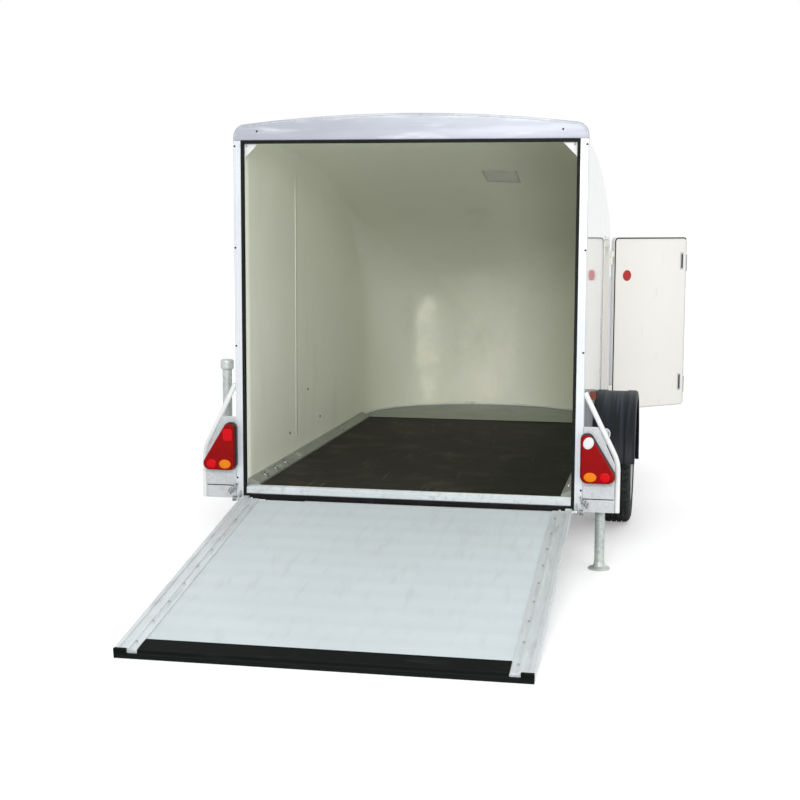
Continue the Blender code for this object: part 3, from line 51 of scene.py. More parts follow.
# Sizes that the detailed pieces share with the solids
MERGE = 0.00002
GAP = 0.0003
SUNK = 0.0006
GROUND = -0.2975
REAR = -1.080
BODY_LENGTH = 2.900
STRAIGHT_LENGTH = 2.300
HALF_BODY = 0.690
WALL = 0.022
WALL_FOOT = -0.018
SHOULDER_HEIGHT = 1.440
ROOF_CROWN = 0.045
PROFILE_POWER = 2.2
ROOF_EDGE = 0.055
ROUNDING_STATION = 1.950
ROUNDING_POWER = 1.2
ROUNDING_LIMIT = 0.85
SHELL_START = 0.0303
HALF_FRAME = 0.7045
FRAME_DEPTH = 0.030
POST_WIDTH = 0.031
OPENING_HEIGHT = 1.394
HEADER_SHOULDER = 1.458
HEADER_RISE = 0.038
HEADER_CORNER = 0.050
DOORWAY_REAR, DOORWAY_FRONT = 0.350, 0.8006
DOORWAY_LOW, DOORWAY_HIGH = 0.130, 0.977
WHEEL_X = 0.7835
WHEEL_Z = -0.024
TYRE_RADIUS = 0.2735
TYRE_WIDTH = 0.155
RIM_RADIUS = 0.168
DOOR_AXIS = (0.703, 0.8426, 0.0)
DOOR_OPEN = 133.0
RAMP_AXIS = (0.0, -1.1075, -0.0468)
RAMP_SLOPE = 9.5694
BOTH = ((-1.0, "left"), (1.0, "right"))
EVEN = (1, 1, 1)
ACROSS, ALONG, BACKWARD, UP, DOWN = (1.0, 0.0, 0.0), (0.0, 1.0, 0.0), (0, -1, 0), (0, 0, 1), (0, 0, -1)


# Shapes: a form is an array of points and a list of face blocks that index them

def grid_faces(rows, columns, close_rows=False, close_columns=False):
    """Four-sided faces between neighbours of a grid; a closed direction joins its last line to its
    first."""
    i = np.arange(rows if close_rows else rows - 1)
    j = np.arange(columns if close_columns else columns - 1)
    i, j = (part.ravel() for part in np.meshgrid(i, j, indexing='ij'))
    up, across = (i + 1) % rows, (j + 1) % columns
    return np.stack([i * columns + j, up * columns + j, up * columns + across, i * columns + across], 1)


def joined(*forms):
    """Several forms as one: each form's faces are shifted by the points before it."""
    starts = np.cumsum([0] + [len(points) for points, _ in forms])
    blocks = [block + start for (_, some), start in zip(forms, starts) for block in some]
    return np.concatenate([points for points, _ in forms]), blocks


def moved(form, matrix):
    """Form turned and shifted by a matrix: R p + t."""
    matrix = np.array(matrix)
    return form[0] @ matrix[:3, :3].T + matrix[:3, 3], form[1]


def mirrored(form):
    """Form on the other side of the middle plane: x becomes -x, and each face runs the other way."""
    return form[0] * (-1.0, 1.0, 1.0), [block[:, ::-1] for block in form[1]]


def sided(form, side):
    return form if side > 0 else mirrored(form)


def arc(centre, radius, start, end, steps):
    """Points c + r (cos t, sin t) for angles t in degrees; the radius may be a pair."""
    turn = np.radians(np.linspace(start, end, steps + 1))
    wide, high = radius if isinstance(radius, tuple) else (radius, radius)
    return np.stack([centre[0] + wide * np.cos(turn), centre[1] + high * np.sin(turn)], 1)


def rounded_rectangle(low, high, radius, steps=4):
    """Four quarter arcs, one at each corner, running anticlockwise."""
    (x0, y0), (x1, y1) = low, high
    r = radius
    centres = [(x1 - r, y0 + r), (x1 - r, y1 - r), (x0 + r, y1 - r), (x0 + r, y0 + r)]
    return np.concatenate([arc(centre, r, 90 * n - 90, 90 * n, steps)
                           for n, centre in enumerate(centres)])


def inset(outline, distance):
    """Closed outline moved inward: p - d (n + m) / (1 + n.m), where n and m are the normals of the
    two edges at p."""
    ahead = np.roll(outline, -1, 0) - outline
    normal = np.stack([ahead[:, 1], -ahead[:, 0]], 1) / np.linalg.norm(ahead, axis=1)[:, None]
    before = np.roll(normal, 1, 0)
    return outline - distance * (normal + before) / (1.0 + (normal * before).sum(1))[:, None]


PLANE_ORDER = {'XZ': [0, 2, 1], 'YZ': [2, 0, 1], 'XY': [0, 1, 2]}


def slab(outline, low, high, plane, edge=0.001, steps=2):
    """Outline given thickness with rounded rims: a rim's ring stands e (1 - sin t) in from the
    outline and e (1 - cos t) in from the flat face, for t from 0 to 90 degrees."""
    outline = np.array(outline, float)
    turn = np.linspace(0.0, math.pi / 2, steps + 1)
    sides, depths = edge * (1.0 - np.sin(turn)), edge * (1.0 - np.cos(turn))
    rims = list(zip(sides, depths))
    rings = [np.insert(inset(outline, s), 2, low + d, axis=1) for s, d in rims]
    rings += [np.insert(inset(outline, s), 2, high - d, axis=1) for s, d in reversed(rims)]
    count = len(outline)
    ends = np.arange(count)[None]
    faces = [grid_faces(len(rings), count, False, True), ends[:, ::-1], ends + (len(rings) - 1) * count]
    return np.concatenate(rings)[:, PLANE_ORDER[plane]], faces


def block(low, high, edge=0.001):
    """Box with all its edges rounded."""
    outline = rounded_rectangle(low[:2], high[:2], edge * 1.2, 2)
    return slab(outline, low[2], high[2], 'XY', edge)


def lathe(profile, steps=64, closed=False):
    """Profile of (radius, height) points turned round the Z axis: (r cos t, r sin t, h)."""
    radius, height = np.array(profile, float).T[:, :, None]
    turn = np.linspace(0.0, 2 * math.pi, steps, endpoint=False)
    points = np.stack([radius * np.cos(turn), radius * np.sin(turn), height + 0.0 * turn], 2)
    return points.reshape(-1, 3), [grid_faces(len(profile), steps, closed, True)]


def rounded_profile(corners, cut, steps=4):
    """Path through corners, each inner one rounded: (1-t)^2 a + 2t(1-t) p + t^2 b, where a and b
    lie a cut away from the corner p on its two sides."""
    corners = np.array(corners, float)
    before, middle, after = corners[:-2], corners[1:-1], corners[2:]
    reach = [np.linalg.norm(end - middle, axis=1)[:, None] for end in (before, after)]
    shares = [np.minimum(cut / length, 0.45) for length in reach]
    a, b = middle + (before - middle) * shares[0], middle + (after - middle) * shares[1]
    t = np.linspace(0.0, 1.0, steps + 1)[None, :, None]
    curve = (1 - t) ** 2 * a[:, None] + 2 * t * (1 - t) * middle[:, None] + t * t * b[:, None]
    return np.concatenate([corners[:1], curve.reshape(-1, corners.shape[1]), corners[-1:]])


def swept(path, radius, sides=20, reference=(0.0, 0.0, 1.0), capped=True):
    """Circle carried along a path: p + r (cos t s + sin t o), with s across the path and the
    reference direction, and o across both."""
    path = np.array(path, float)
    ahead = np.gradient(path, axis=0)
    ahead /= np.linalg.norm(ahead, axis=1)[:, None]
    side = np.cross(ahead, reference)
    side /= np.linalg.norm(side, axis=1)[:, None]
    over = np.cross(side, ahead)
    turn = np.linspace(0.0, 2 * math.pi, sides, endpoint=False)[None, :, None]
    points = path[:, None] + radius * (np.cos(turn) * side[:, None] + np.sin(turn) * over[:, None])
    ring = np.arange(sides)[None]
    faces = [grid_faces(len(path), sides, False, True)]
    if capped:
        faces += [ring[:, ::-1], ring + (len(path) - 1) * sides]
    return points.reshape(-1, 3), faces


def at(*place):
    """Matrix of a shift."""
    return Matrix.Translation(place)


def facing(direction, place):
    """Matrix that stands a form's Z axis along a direction at a place."""
    return at(*place) @ Vector(direction).to_track_quat('Z', 'Y').to_matrix().to_4x4()


def repeated(form, places, direction):
    """A form at each place, its Z axis along a direction."""
    return joined(*(moved(form, facing(direction, place)) for place in places))


def screw_heads(places, direction, radius, rise):
    """Low domes: h = rise (1 - (r / R)^2), each sunk a little into what carries it."""
    share = np.array([0.0, 0.35, 0.7, 0.92, 1.0])
    profile = np.stack([radius * share, rise * (1.0 - share ** 2)], 1)
    profile = np.concatenate([profile, [[radius, -SUNK], [0.0, -SUNK]]])
    return repeated(lathe(profile, 14), places, direction)


def bolt_heads(places, direction, radius, height):
    """Six-sided heads on round washers."""
    washer, rim = 0.0015, radius * 1.5
    head = lathe([(0.0, height), (radius * 0.9, height), (radius, height * 0.85), (radius, washer),
                  (0.0, washer)], 6)
    ring = lathe([(0.0, washer), (radius * 1.45, washer), (rim, washer * 0.5), (rim, -0.0005),
                  (0.0, -0.0005)], 20)
    return repeated(joined(head, ring), places, direction)


# Materials

def plug(tree, socket, value):
    """Link a varying value to a socket, or set a constant on it; a colour in three values is red,
    green and blue as on a screen, 0 to 255."""
    if isinstance(value, Varying):
        tree.links.new(value.socket, socket)
    elif socket.type == 'RGBA' and len(value) == 3:
        socket.default_value = paint(*value)
    else:
        socket.default_value = value


class Varying:
    """A value that changes over a surface; operators on it add Math nodes."""

    def __init__(self, tree, socket):
        self.tree = tree
        self.socket = socket

    def work(self, operation, *values):
        node = self.tree.nodes.new("ShaderNodeMath")
        node.operation = operation
        for socket, value in zip(node.inputs, values):
            plug(self.tree, socket, value)
        return Varying(self.tree, node.outputs[0])

    def __add__(self, other):
        return self.work('ADD', self, other)

    def __radd__(self, other):
        return self.work('ADD', other, self)

    def __sub__(self, other):
        return self.work('SUBTRACT', self, other)

    def __rsub__(self, other):
        return self.work('SUBTRACT', other, self)

    def __mul__(self, other):
        return self.work('MULTIPLY', self, other)

    def __rmul__(self, other):
        return self.work('MULTIPLY', other, self)

    def wave(self, length):
        """Sine of the value, one turn to a length, between 0 and 1."""
        return self.work('SINE', self * (2 * math.pi / length)) * 0.5 + 0.5


def paint(red, green, blue):
    """Linear value of a colour written as on a screen, 0 to 255: ((v + 0.055) / 1.055)^2.4."""
    return (*(((v / 255 + 0.055) / 1.055) ** 2.4 for v in (red, green, blue)), 1.0)


class Finish:
    """A material in the making."""

    def __init__(self, name):
        self.material = bpy.data.materials.new(name)
        self.material.use_nodes = True
        self.tree = self.material.node_tree
        self.shader = self.tree.nodes["Principled BSDF"]
        self.place = self.node("ShaderNodeTexCoord", output="Object")

    def node(self, kind, settings=(), inputs=(), output=0):
        """Any node: its type, its settings, set first, then the values or links of its sockets."""
        made = self.tree.nodes.new(kind)
        for key, value in dict(settings).items():
            setattr(made, key, value)
        for key, value in dict(inputs).items():
            plug(self.tree, made.inputs[key], value)
        return Varying(self.tree, made.outputs[output])

    def axis(self, letter):
        return self.node("ShaderNodeSeparateXYZ", (), {0: self.place}, letter)

    def noise(self, scale, stretch=EVEN, detail=3.0, roughness=0.55):
        """Cloudy pattern; a larger stretch makes it finer along that axis."""
        place = self.node("ShaderNodeMapping", (), {"Vector": self.place, "Scale": stretch})
        sockets = {"Vector": place, "Scale": scale, "Detail": detail, "Roughness": roughness}
        return self.node("ShaderNodeTexNoise", (), sockets)

    def cells(self, scale):
        """Random grey for each crystal-like cell."""
        colour = self.node("ShaderNodeTexVoronoi", (), {"Vector": self.place, "Scale": scale}, "Color")
        return self.node("ShaderNodeSeparateXYZ", (), {0: colour}, "X")

    def ramp(self, value, start, end):
        """Smooth rise from 0 to 1 while the value goes from start to end."""
        return self.node("ShaderNodeMapRange", {"interpolation_type": 'SMOOTHSTEP'},
                         {"Value": value, "From Min": start, "From Max": end})

    def mix(self, first, second, share):
        """Colour between two colours."""
        return self.node("ShaderNodeMix", {"data_type": 'RGBA'}, {0: share, 6: first, 7: second}, 2)

    def coats(self, base, *coats):
        """Colour with others laid over it in turn, each with its share: c (1 - s) + k s."""
        for colour, share in coats:
            base = self.mix(base, colour, share)
        return base

    def surface(self, colour, roughness, height=None, lift=0.001, metallic=0.0, **sockets):
        """Join the shader's sockets; lift is the bump's height in metres."""
        plug(self.tree, self.shader.inputs["Base Color"], colour)
        plug(self.tree, self.shader.inputs["Roughness"], roughness)
        plug(self.tree, self.shader.inputs["Metallic"], metallic)
        for key, value in sockets.items():
            plug(self.tree, self.shader.inputs[key.replace("_", " ")], value)
        if height is not None:
            bump = self.node("ShaderNodeBump", (), {"Height": height, "Distance": lift})
            plug(self.tree, self.shader.inputs["Normal"], bump)
        return self.material


def polyester_outside():
    """Glossy white gelcoat with a faint ripple, and road dust low down."""
    f = Finish("polyester_outside")
    cloud = f.noise(1.7)
    dust = f.ramp(f.axis("Z"), 0.16, -0.02) * (0.25 + 0.3 * f.noise(14.0, (1, 1, 0.12)))
    colour = f.coats((233, 236, 239), ((226, 229, 232), cloud), ((182, 180, 172), dust))
    return f.surface(colour, 0.03 + 0.03 * cloud + 0.4 * dust, f.noise(5.0, detail=0.0), 0.0003,
                     Specular_IOR_Level=0.35)


def polyester_inside():
    """Unpainted cream-green laminate: cloudy, with the print of its glass mat, darkened overhead and
    towards the right wall by painted shade, and with a weak painted glow for the light its walls throw
    on each other."""
    f = Finish("polyester_inside")
    # painted shade: darker overhead and towards the right wall, where less light falls
    painted_shade = f.ramp(f.axis("Z"), 0.45, 1.15) * 0.15 + f.ramp(f.axis("X"), 0.12, 0.52) * 0.50
    cloud = f.noise(2.4, detail=4.0)
    mat = f.noise(55.0, detail=5.0, roughness=0.7)
    stain = f.ramp(f.noise(3.6, (1, 1, 0.35)), 0.55, 0.78) * 0.4
    # the last coat, (168, 170, 146), is painted shade laid over the laminate
    colour = f.coats((239, 241, 228), ((231, 233, 219), cloud),
                     ((243, 244, 233), f.ramp(mat, 0.45, 0.75) * 0.6),
                     ((214, 214, 196), stain), ((168, 170, 146), painted_shade))
    # the emission is a painted glow standing in for light the walls throw on each other; the painted
    # shade dims it
    return f.surface(colour, 0.36 + 0.25 * mat, mat + 0.4 * cloud, 0.0006,
                     Emission_Color=f.mix((62, 64, 54), (30, 32, 23), painted_shade), Emission_Strength=1.0)


def door_white():
    """Warm white gelcoat of the door leaf and its frame, glossy, faintly scuffed."""
    f = Finish("door_white")
    cloud = f.noise(2.6)
    scuffs = f.ramp(f.noise(30.0, (1, 1, 0.3)), 0.62, 0.8) * 0.4
    colour = f.coats((249, 248, 242), ((245, 243, 236), cloud), ((226, 222, 210), scuffs))
    return f.surface(colour, 0.16 + 0.2 * scuffs + 0.05 * cloud, cloud, 0.0003)


def white_aluminium():
    """Pale anodised frame, mottled, with drawn lines along its length."""
    f = Finish("white_aluminium")
    cloud = f.noise(7.0, detail=4.0)
    spots = f.ramp(f.noise(38.0, (1, 1, 0.7)), 0.62, 0.78)
    lines = f.noise(120.0, (1, 1, 0.015), detail=1.0)
    colour = f.coats((232, 236, 240), ((206, 211, 216), cloud), ((178, 182, 186), spots * 0.5))
    return f.surface(colour, 0.3 + 0.22 * cloud, lines, 0.0003, 0.35)


def rail_aluminium():
    """Drawn aluminium of the ramp's rails and the sill, scuffed along its length."""
    f = Finish("rail_aluminium")
    scuffs = f.noise(40.0, (1, 0.03, 1))
    lines = f.ramp(f.noise(90.0, (1, 0.01, 1), detail=1.0), 0.5, 0.72)
    colour = f.coats((228, 235, 237), ((206, 213, 215), f.noise(6.0, detail=4.0)),
                     ((172, 178, 180), f.ramp(scuffs, 0.5, 0.75) * 0.45 + lines * 0.15))
    return f.surface(colour, 0.28 + 0.3 * scuffs, scuffs, 0.0003, 0.3)


def smeared_metal(name, colours, cloud, smears, start, end, share, rough, gain, lift, metallic):
    """Sheet in two greys with a third smeared over it; cloud and smears are noise arguments, and
    start, end and share say where the smears begin, are full and how strong they are."""
    f = Finish(name)
    smear = f.noise(*smears)
    colour = f.coats(colours[0], (colours[1], f.noise(*cloud)),
                     (colours[2], f.ramp(smear, start, end) * share))
    return f.surface(colour, rough + gain * smear, smear, lift, metallic)


def pale_zinc():
    """Weathered zinc of the lamp brackets, pale and faintly blotched."""
    f = Finish("pale_zinc")
    cloud = f.noise(16.0, detail=4.0)
    crystals = f.cells(120.0)
    colour = f.coats((202, 206, 209), ((182, 186, 190), cloud), ((216, 219, 221), crystals * 0.5))
    return f.surface(colour, 0.4 + 0.2 * cloud, cloud + 0.3 * crystals, 0.0003, 0.3)


def galvanised():
    """Hot-dip zinc: a fine spangle of crystals, dull grey bloom in places."""
    f = Finish("galvanised")
    crystals = f.cells(95.0)
    bloom = f.noise(9.0, detail=4.0)
    colour = f.coats((204, 210, 206), ((178, 185, 182), crystals),
                     ((216, 220, 215), f.ramp(bloom, 0.45, 0.75) * 0.6))
    return f.surface(colour, 0.3 + 0.14 * crystals + 0.2 * bloom, bloom + 0.2 * crystals, 0.0003, 0.5)


def black_rubber():
    f = Finish("black_rubber")
    cloud = f.noise(30.0, detail=4.0)
    colour = f.coats((11, 12, 12), ((30, 30, 29), f.ramp(cloud, 0.45, 0.8)))
    return f.surface(colour, 0.5 + 0.3 * cloud, cloud, 0.0003, Specular_IOR_Level=0.2)


def flap_rubber():
    """Ribbed dark flap at the ramp's tip, with scuffed grey ridges."""
    f = Finish("flap_rubber")
    ribs = f.axis("Y").wave(0.0075)
    dust = f.noise(24.0, (0.2, 1, 1))
    colour = f.coats((12, 15, 14), ((24, 28, 26), ribs), ((48, 53, 51), f.ramp(dust, 0.55, 0.8) * 0.4))
    return f.surface(colour, 0.6 + 0.2 * dust, ribs + 0.3 * dust, 0.0004, Specular_IOR_Level=0.06)


def tyre_rubber():
    """Matt black with grey dust in the hollows."""
    f = Finish("tyre_rubber")
    cloud = f.noise(34.0, detail=5.0)
    colour = f.coats((32, 33, 34), ((66, 68, 65), f.ramp(cloud, 0.38, 0.8) * 0.7))
    return f.surface(colour, 0.62 + 0.25 * cloud, cloud, 0.0004, Specular_IOR_Level=0.3)


def guard_plastic():
    """Dark blue-grey plastic, fine-grained, with paler weathered streaks that run downwards."""
    f = Finish("guard_plastic")
    streaks = f.noise(46.0, (1, 0.03, 0.03), detail=1.0)
    colour = f.coats((10, 13, 17), ((28, 33, 39), f.noise(7.0)),
                     ((84, 94, 106), f.ramp(streaks, 0.45, 0.8) * 0.75))
    return f.surface(colour, 0.34 + 0.25 * streaks, f.noise(420.0, detail=1.0), 0.0003,
                     Specular_IOR_Level=0.22)


def black_plastic():
    f = Finish("black_plastic")
    cloud = f.noise(12.0)
    colour = f.coats((16, 14, 15), ((34, 32, 34), cloud))
    return f.surface(colour, 0.3 + 0.25 * cloud, f.noise(300.0, detail=1.0), 0.0002,
                     Specular_IOR_Level=0.3)


def film_plywood():
    """Dark film-faced floor: fine cross streaks, pale scratches along the way the load goes, and
    painted shade that darkens the right half."""
    f = Finish("film_plywood")
    cross = f.noise(60.0, (0.08, 1, 1), detail=4.0)
    scratch = f.ramp(f.noise(75.0, (1, 0.05, 1), detail=2.0), 0.64, 0.74)
    blotch = f.ramp(f.noise(4.5, detail=4.0), 0.46, 0.76)
    mesh = f.axis("X").wave(0.004) * f.axis("Y").wave(0.004)
    colour = f.coats((24, 22, 18), ((52, 49, 43), cross), ((76, 72, 64), blotch * 0.6),
                     ((112, 108, 98), scratch * 0.5),
                     # painted shade: the right half darkened
                     ((14, 13, 10), f.ramp(f.axis("X"), 0.05, 0.5) * 0.6))
    return f.surface(colour, 0.5 + 0.3 * cross, mesh + 0.6 * cross - scratch * 0.5, 0.0004,
                     Specular_IOR_Level=0.15)


def pale_deck():
    """Pale blue-grey ramp deck with faint bands across it and scuffs along it."""
    f = Finish("pale_deck")
    bands = f.ramp(f.axis("Y").wave(0.118), 0.2, 0.98)
    scuffs = f.noise(30.0, (1, 0.1, 1), detail=4.0)
    colour = f.coats((214, 224, 227), ((202, 212, 215), f.noise(3.2, detail=4.0)),
                     ((196, 205, 209), bands * 0.22),
                     ((184, 190, 192), f.ramp(scuffs, 0.5, 0.85) * 0.45))
    return f.surface(colour, 0.42 + 0.25 * scuffs, f.noise(320.0, detail=2.0), 0.0002)


def white_paint():
    """White enamel on steel, a little chipped and rust-stained."""
    f = Finish("white_paint")
    cloud = f.noise(9.0)
    chips = f.ramp(f.noise(60.0, detail=4.0), 0.7, 0.76)
    colour = f.coats((238, 240, 240), ((220, 222, 221), cloud), ((132, 98, 74), chips * 0.7))
    return f.surface(colour, 0.22 + 0.2 * cloud + 0.3 * chips, cloud - chips, 0.0003)


def rim_silver():
    """Silver wheel paint with brake dust and grit."""
    f = Finish("rim_silver")
    cloud = f.noise(14.0, detail=4.0)
    colour = f.coats((196, 199, 202), ((164, 166, 168), cloud),
                     ((110, 102, 92), f.ramp(cloud, 0.55, 0.85) * 0.6))
    return f.surface(colour, 0.3 + 0.25 * cloud, cloud, 0.0003, 0.5)


def lens_plastic(name, light, dark):
    """Clear moulded plastic over a ribbed reflector."""
    f = Finish(name)
    cloud = f.noise(16.0)
    ribs = f.axis("X").wave(0.0042)
    colour = f.mix(light, dark, 0.25 * ribs + 0.55 * cloud)
    return f.surface(colour, 0.1 + 0.12 * cloud, ribs, 0.0003, Specular_IOR_Level=0.1)


def clouded(name, first, second, scale, rough, gain, lift, metallic=0.0, detail=3.0):
    """Two colours in one cloudy pattern that also sets the gloss and the bump."""
    f = Finish(name)
    cloud = f.noise(scale, detail=detail)
    return f.surface(f.mix(first, second, cloud), rough + gain * cloud, cloud, lift, metallic)


OUTSIDE = polyester_outside()
INSIDE = polyester_inside()
DOOR_WHITE = door_white()
FRAME_METAL = white_aluminium()
HEADER = smeared_metal("header_aluminium", ((186, 190, 200), (164, 168, 179), (212, 216, 224)),
                       (6.0, (0.5, 1, 1.6), 4.0), (26.0, (0.12, 1, 1), 4.0), 0.5, 0.72, 0.8,
                       0.34, 0.2, 0.0003, 0.2)
WORN_METAL = smeared_metal("worn_aluminium", ((172, 176, 168), (134, 138, 130), (208, 210, 204)),
                           (5.0, EVEN, 4.0), (30.0, (0.25, 1, 1)), 0.55, 0.8, 0.6,
                           0.4, 0.3, 0.0004, 0.35)
PALE_ZINC = pale_zinc()
RAIL_METAL = rail_aluminium()
ZINC = galvanised()
BRIGHT = clouded("bright_zinc", (196, 198, 200), (140, 142, 146), 70.0, 0.22, 0.25, 0.0002, 0.85)
RUST = clouded("rust_brown", (132, 62, 38), (88, 44, 32), 45.0, 0.7, 0.2, 0.0006, detail=5.0)
BLANK = clouded("blank_white", (236, 236, 230), (214, 214, 206), 20.0, 0.3, 0.2, 0.0001)
RED_BLANK = clouded("blank_red", (196, 34, 34), (168, 28, 30), 26.0, 0.25, 0.2, 0.0001)
RUBBER = black_rubber()
FLAP = flap_rubber()
TYRE = tyre_rubber()
GUARD = guard_plastic()
BLACK = black_plastic()
FLOORING = film_plywood()
DECK = pale_deck()
WHITE = white_paint()
RIM = rim_silver()
RED = lens_plastic("red_lens", (168, 2, 5), (84, 0, 2))
BRIGHT_RED = lens_plastic("bright_red_lens", (226, 14, 28), (170, 4, 14))
AMBER = lens_plastic("amber_lens", (238, 142, 28), (206, 92, 10))
CLEAR = lens_plastic("clear_lens", (236, 238, 238), (196, 200, 202))


def mesh_of(name, form):
    """Mesh from a form's points and face blocks, as they are."""
    points, blocks = form
    mesh = bpy.data.meshes.new(name)
    mesh.from_pydata(points.tolist(), [], [face for some in blocks for face in some.tolist()])
    return mesh


def make_piece(name, form, finish, body="trailer", stands_for=(), sharp=35.0, inside=None,
               outward=True):
    """Mesh object from a form: doubles merged, faces turned outward, smooth but for sharp edges."""
    mesh = mesh_of(name, form)
    edit = bmesh.new()
    edit.from_mesh(mesh)
    bmesh.ops.remove_doubles(edit, verts=edit.verts, dist=MERGE)
    bmesh.ops.dissolve_degenerate(edit, edges=edit.edges, dist=MERGE)
    if outward:
        bmesh.ops.recalc_face_normals(edit, faces=edit.faces)
    edit.to_mesh(mesh)
    edit.free()
    mesh.shade_smooth()
    mesh.set_sharp_from_angle(angle=math.radians(sharp))
    mesh.materials.append(finish)
    if inside:
        mesh.materials.append(inside)
    piece = bpy.data.objects.new(name, mesh)
    bpy.context.scene.collection.objects.link(piece)
    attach(piece, body)
    if stands_for:
        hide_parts(*stands_for)
    return piece


def dress(nodes, finish, edge=0.0008):
    """Finish a solid that keeps its mesh, with its edges rounded a little."""
    for name in nodes.split():
        solid = NODES[name]
        solid.data.materials.clear()
        solid.data.materials.append(finish)
        weld = solid.modifiers.new("weld", 'WELD')
        weld.merge_threshold = MERGE
        if edge:
            rim = solid.modifiers.new("edge", 'BEVEL')
            rim.width = edge
            rim.segments = 2
            rim.limit_method = 'ANGLE'
            rim.angle_limit = math.radians(40.0)
            rim.use_clamp_overlap = True


# Polyester shell

def shoulder(station):
    """Height of the roof edge: H (1 - (s / L)^n)^(1/n)."""
    left = np.maximum(0.0, 1.0 - (station / BODY_LENGTH) ** PROFILE_POWER)
    return SHOULDER_HEIGHT * left ** (1 / PROFILE_POWER)


def half_width(station):
    """Half the plan's width: constant, then an ellipse over the nose."""
    reach = np.clip((station - STRAIGHT_LENGTH) / (BODY_LENGTH - STRAIGHT_LENGTH), 0.0, 1.0)
    return HALF_BODY * np.sqrt(1.0 - reach * reach)


def edge_radii(station):
    """Width and height of the quarter round between wall and roof, growing towards the nose."""
    ahead = np.maximum(0.0, station - ROUNDING_STATION) / (BODY_LENGTH - ROUNDING_STATION)
    share = ahead ** ROUNDING_POWER
    widest, highest = ROUNDING_LIMIT * half_width(station), shoulder(station)
    wide = ROOF_EDGE + share * (widest - ROOF_EDGE)
    high = ROOF_EDGE + share * (highest - ROOF_EDGE)
    return np.minimum(wide, widest), np.minimum(high, highest)


def shell_half(with_doorway):
    """Right half of the outer skin as a grid of stations along the trailer and points round its
    section: straight wall rows, a quarter ellipse (w - a + a cos t, h - b + b sin t) at the roof
    edge, and a crown h + c (1 - s^2) over the roof."""
    straight = np.concatenate([np.linspace(SHELL_START, 1.10, 16), np.linspace(1.16, 2.24, 25)])
    doorway = np.array([DOORWAY_REAR, DOORWAY_FRONT]) - REAR
    straight = straight[np.abs(straight[:, None] - doorway).min(1) > 0.012]
    bend = np.sin(np.radians(np.linspace(0, 90, 33)))
    nose = STRAIGHT_LENGTH + (BODY_LENGTH - STRAIGHT_LENGTH) * bend
    station = np.sort(np.concatenate([straight, doorway, nose]))[:, None]
    width, height = half_width(station), shoulder(station)
    wide, high = edge_radii(station)
    top = height - high
    level_low = np.minimum(DOORWAY_LOW, 0.3 * top)
    level_high = np.minimum(DOORWAY_HIGH, 0.92 * top)
    below, beside = 3, 10
    spans = ((WALL_FOOT + 0 * top, level_low, below), (level_low, level_high, beside),
             (level_high, top, 4))
    rows = np.concatenate([a + (b - a) * np.arange(n) / n for a, b, n in spans], 1)
    turn = np.linspace(0.0, math.pi / 2, 15)
    across = np.linspace(1.0, 0.0, 15)[1:]
    crown = ROOF_CROWN * width / HALF_BODY
    inner = width - wide
    x = np.concatenate([width + 0 * rows, inner + wide * np.cos(turn), inner * across], 1)
    z = np.concatenate([rows, top + high * np.sin(turn), height + crown * (1.0 - across ** 2)], 1)
    points = np.stack([x, REAR + station + 0 * x, z], 2)
    count = points.shape[1]
    faces = grid_faces(*points.shape[:2])
    if with_doorway:
        first, last = (int(np.abs(station[:, 0] - s).argmin()) for s in doorway)
        i, j = faces[:, 0] // count, faces[:, 0] % count
        faces = faces[~((i >= first) & (i < last) & (j >= below) & (j < below + beside))]
    return points.reshape(-1, 3), [faces]


def make_shell():
    form = joined(shell_half(True), mirrored(shell_half(False)))
    piece = make_piece("polyester_shell", form, OUTSIDE,
                       stands_for=("roof_and_nose", "side_wall_left", "side_wall_right"),
                       inside=INSIDE, sharp=60.0, outward=False)
    wall = piece.modifiers.new("wall", 'SOLIDIFY')
    wall.thickness = WALL
    wall.offset = -1.0
    wall.material_offset = 1
    wall.material_offset_rim = 0


make_shell()


# Rear frame

HEADER_TOP_POINTS = 25
POST_GROOVES = (0.0105, 0.0205)
GROOVE_WIDTH = 0.0016
GROOVE_DEPTH = 0.0014
GROOVE_SLANT = 0.0004
POST_SCREWS = (1.372, 0.970, 0.575, 0.035)


def header_outline():
    """Flat lower edge, quarter arcs at the two corners, and a parabola between them."""
    half = HALF_FRAME
    corner = arc((half - HEADER_CORNER, HEADER_SHOULDER - HEADER_CORNER), HEADER_CORNER, 0, 90, 10)
    share = np.linspace(1.0, -1.0, HEADER_TOP_POINTS)[1:-1]
    rise = HEADER_SHOULDER + HEADER_RISE * (1 - share ** 2)
    crown = np.stack([(half - HEADER_CORNER) * share, rise], 1)
    foot = [(-half, OPENING_HEIGHT), (half, OPENING_HEIGHT)]
    return np.concatenate([foot, corner, crown, (corner * (-1, 1))[::-1]])


def post_outline():
    """Right post seen from above: drawn section with two grooves in its rear face."""
    inner, outer, edge = HALF_FRAME - POST_WIDTH, HALF_FRAME, 0.004
    groove = np.array([(0.0, 0.0), (GROOVE_SLANT, GROOVE_DEPTH), (GROOVE_WIDTH, GROOVE_DEPTH),
                       (GROOVE_WIDTH + GROOVE_SLANT, 0.0)])
    cuts = [groove + (inner + start, REAR) for start in POST_GROOVES]
    front = [(outer, REAR + FRAME_DEPTH), (inner, REAR + FRAME_DEPTH), (inner, REAR)]
    return np.concatenate([*cuts, arc((outer - edge, REAR + edge), edge, -90, 0, 4), front])


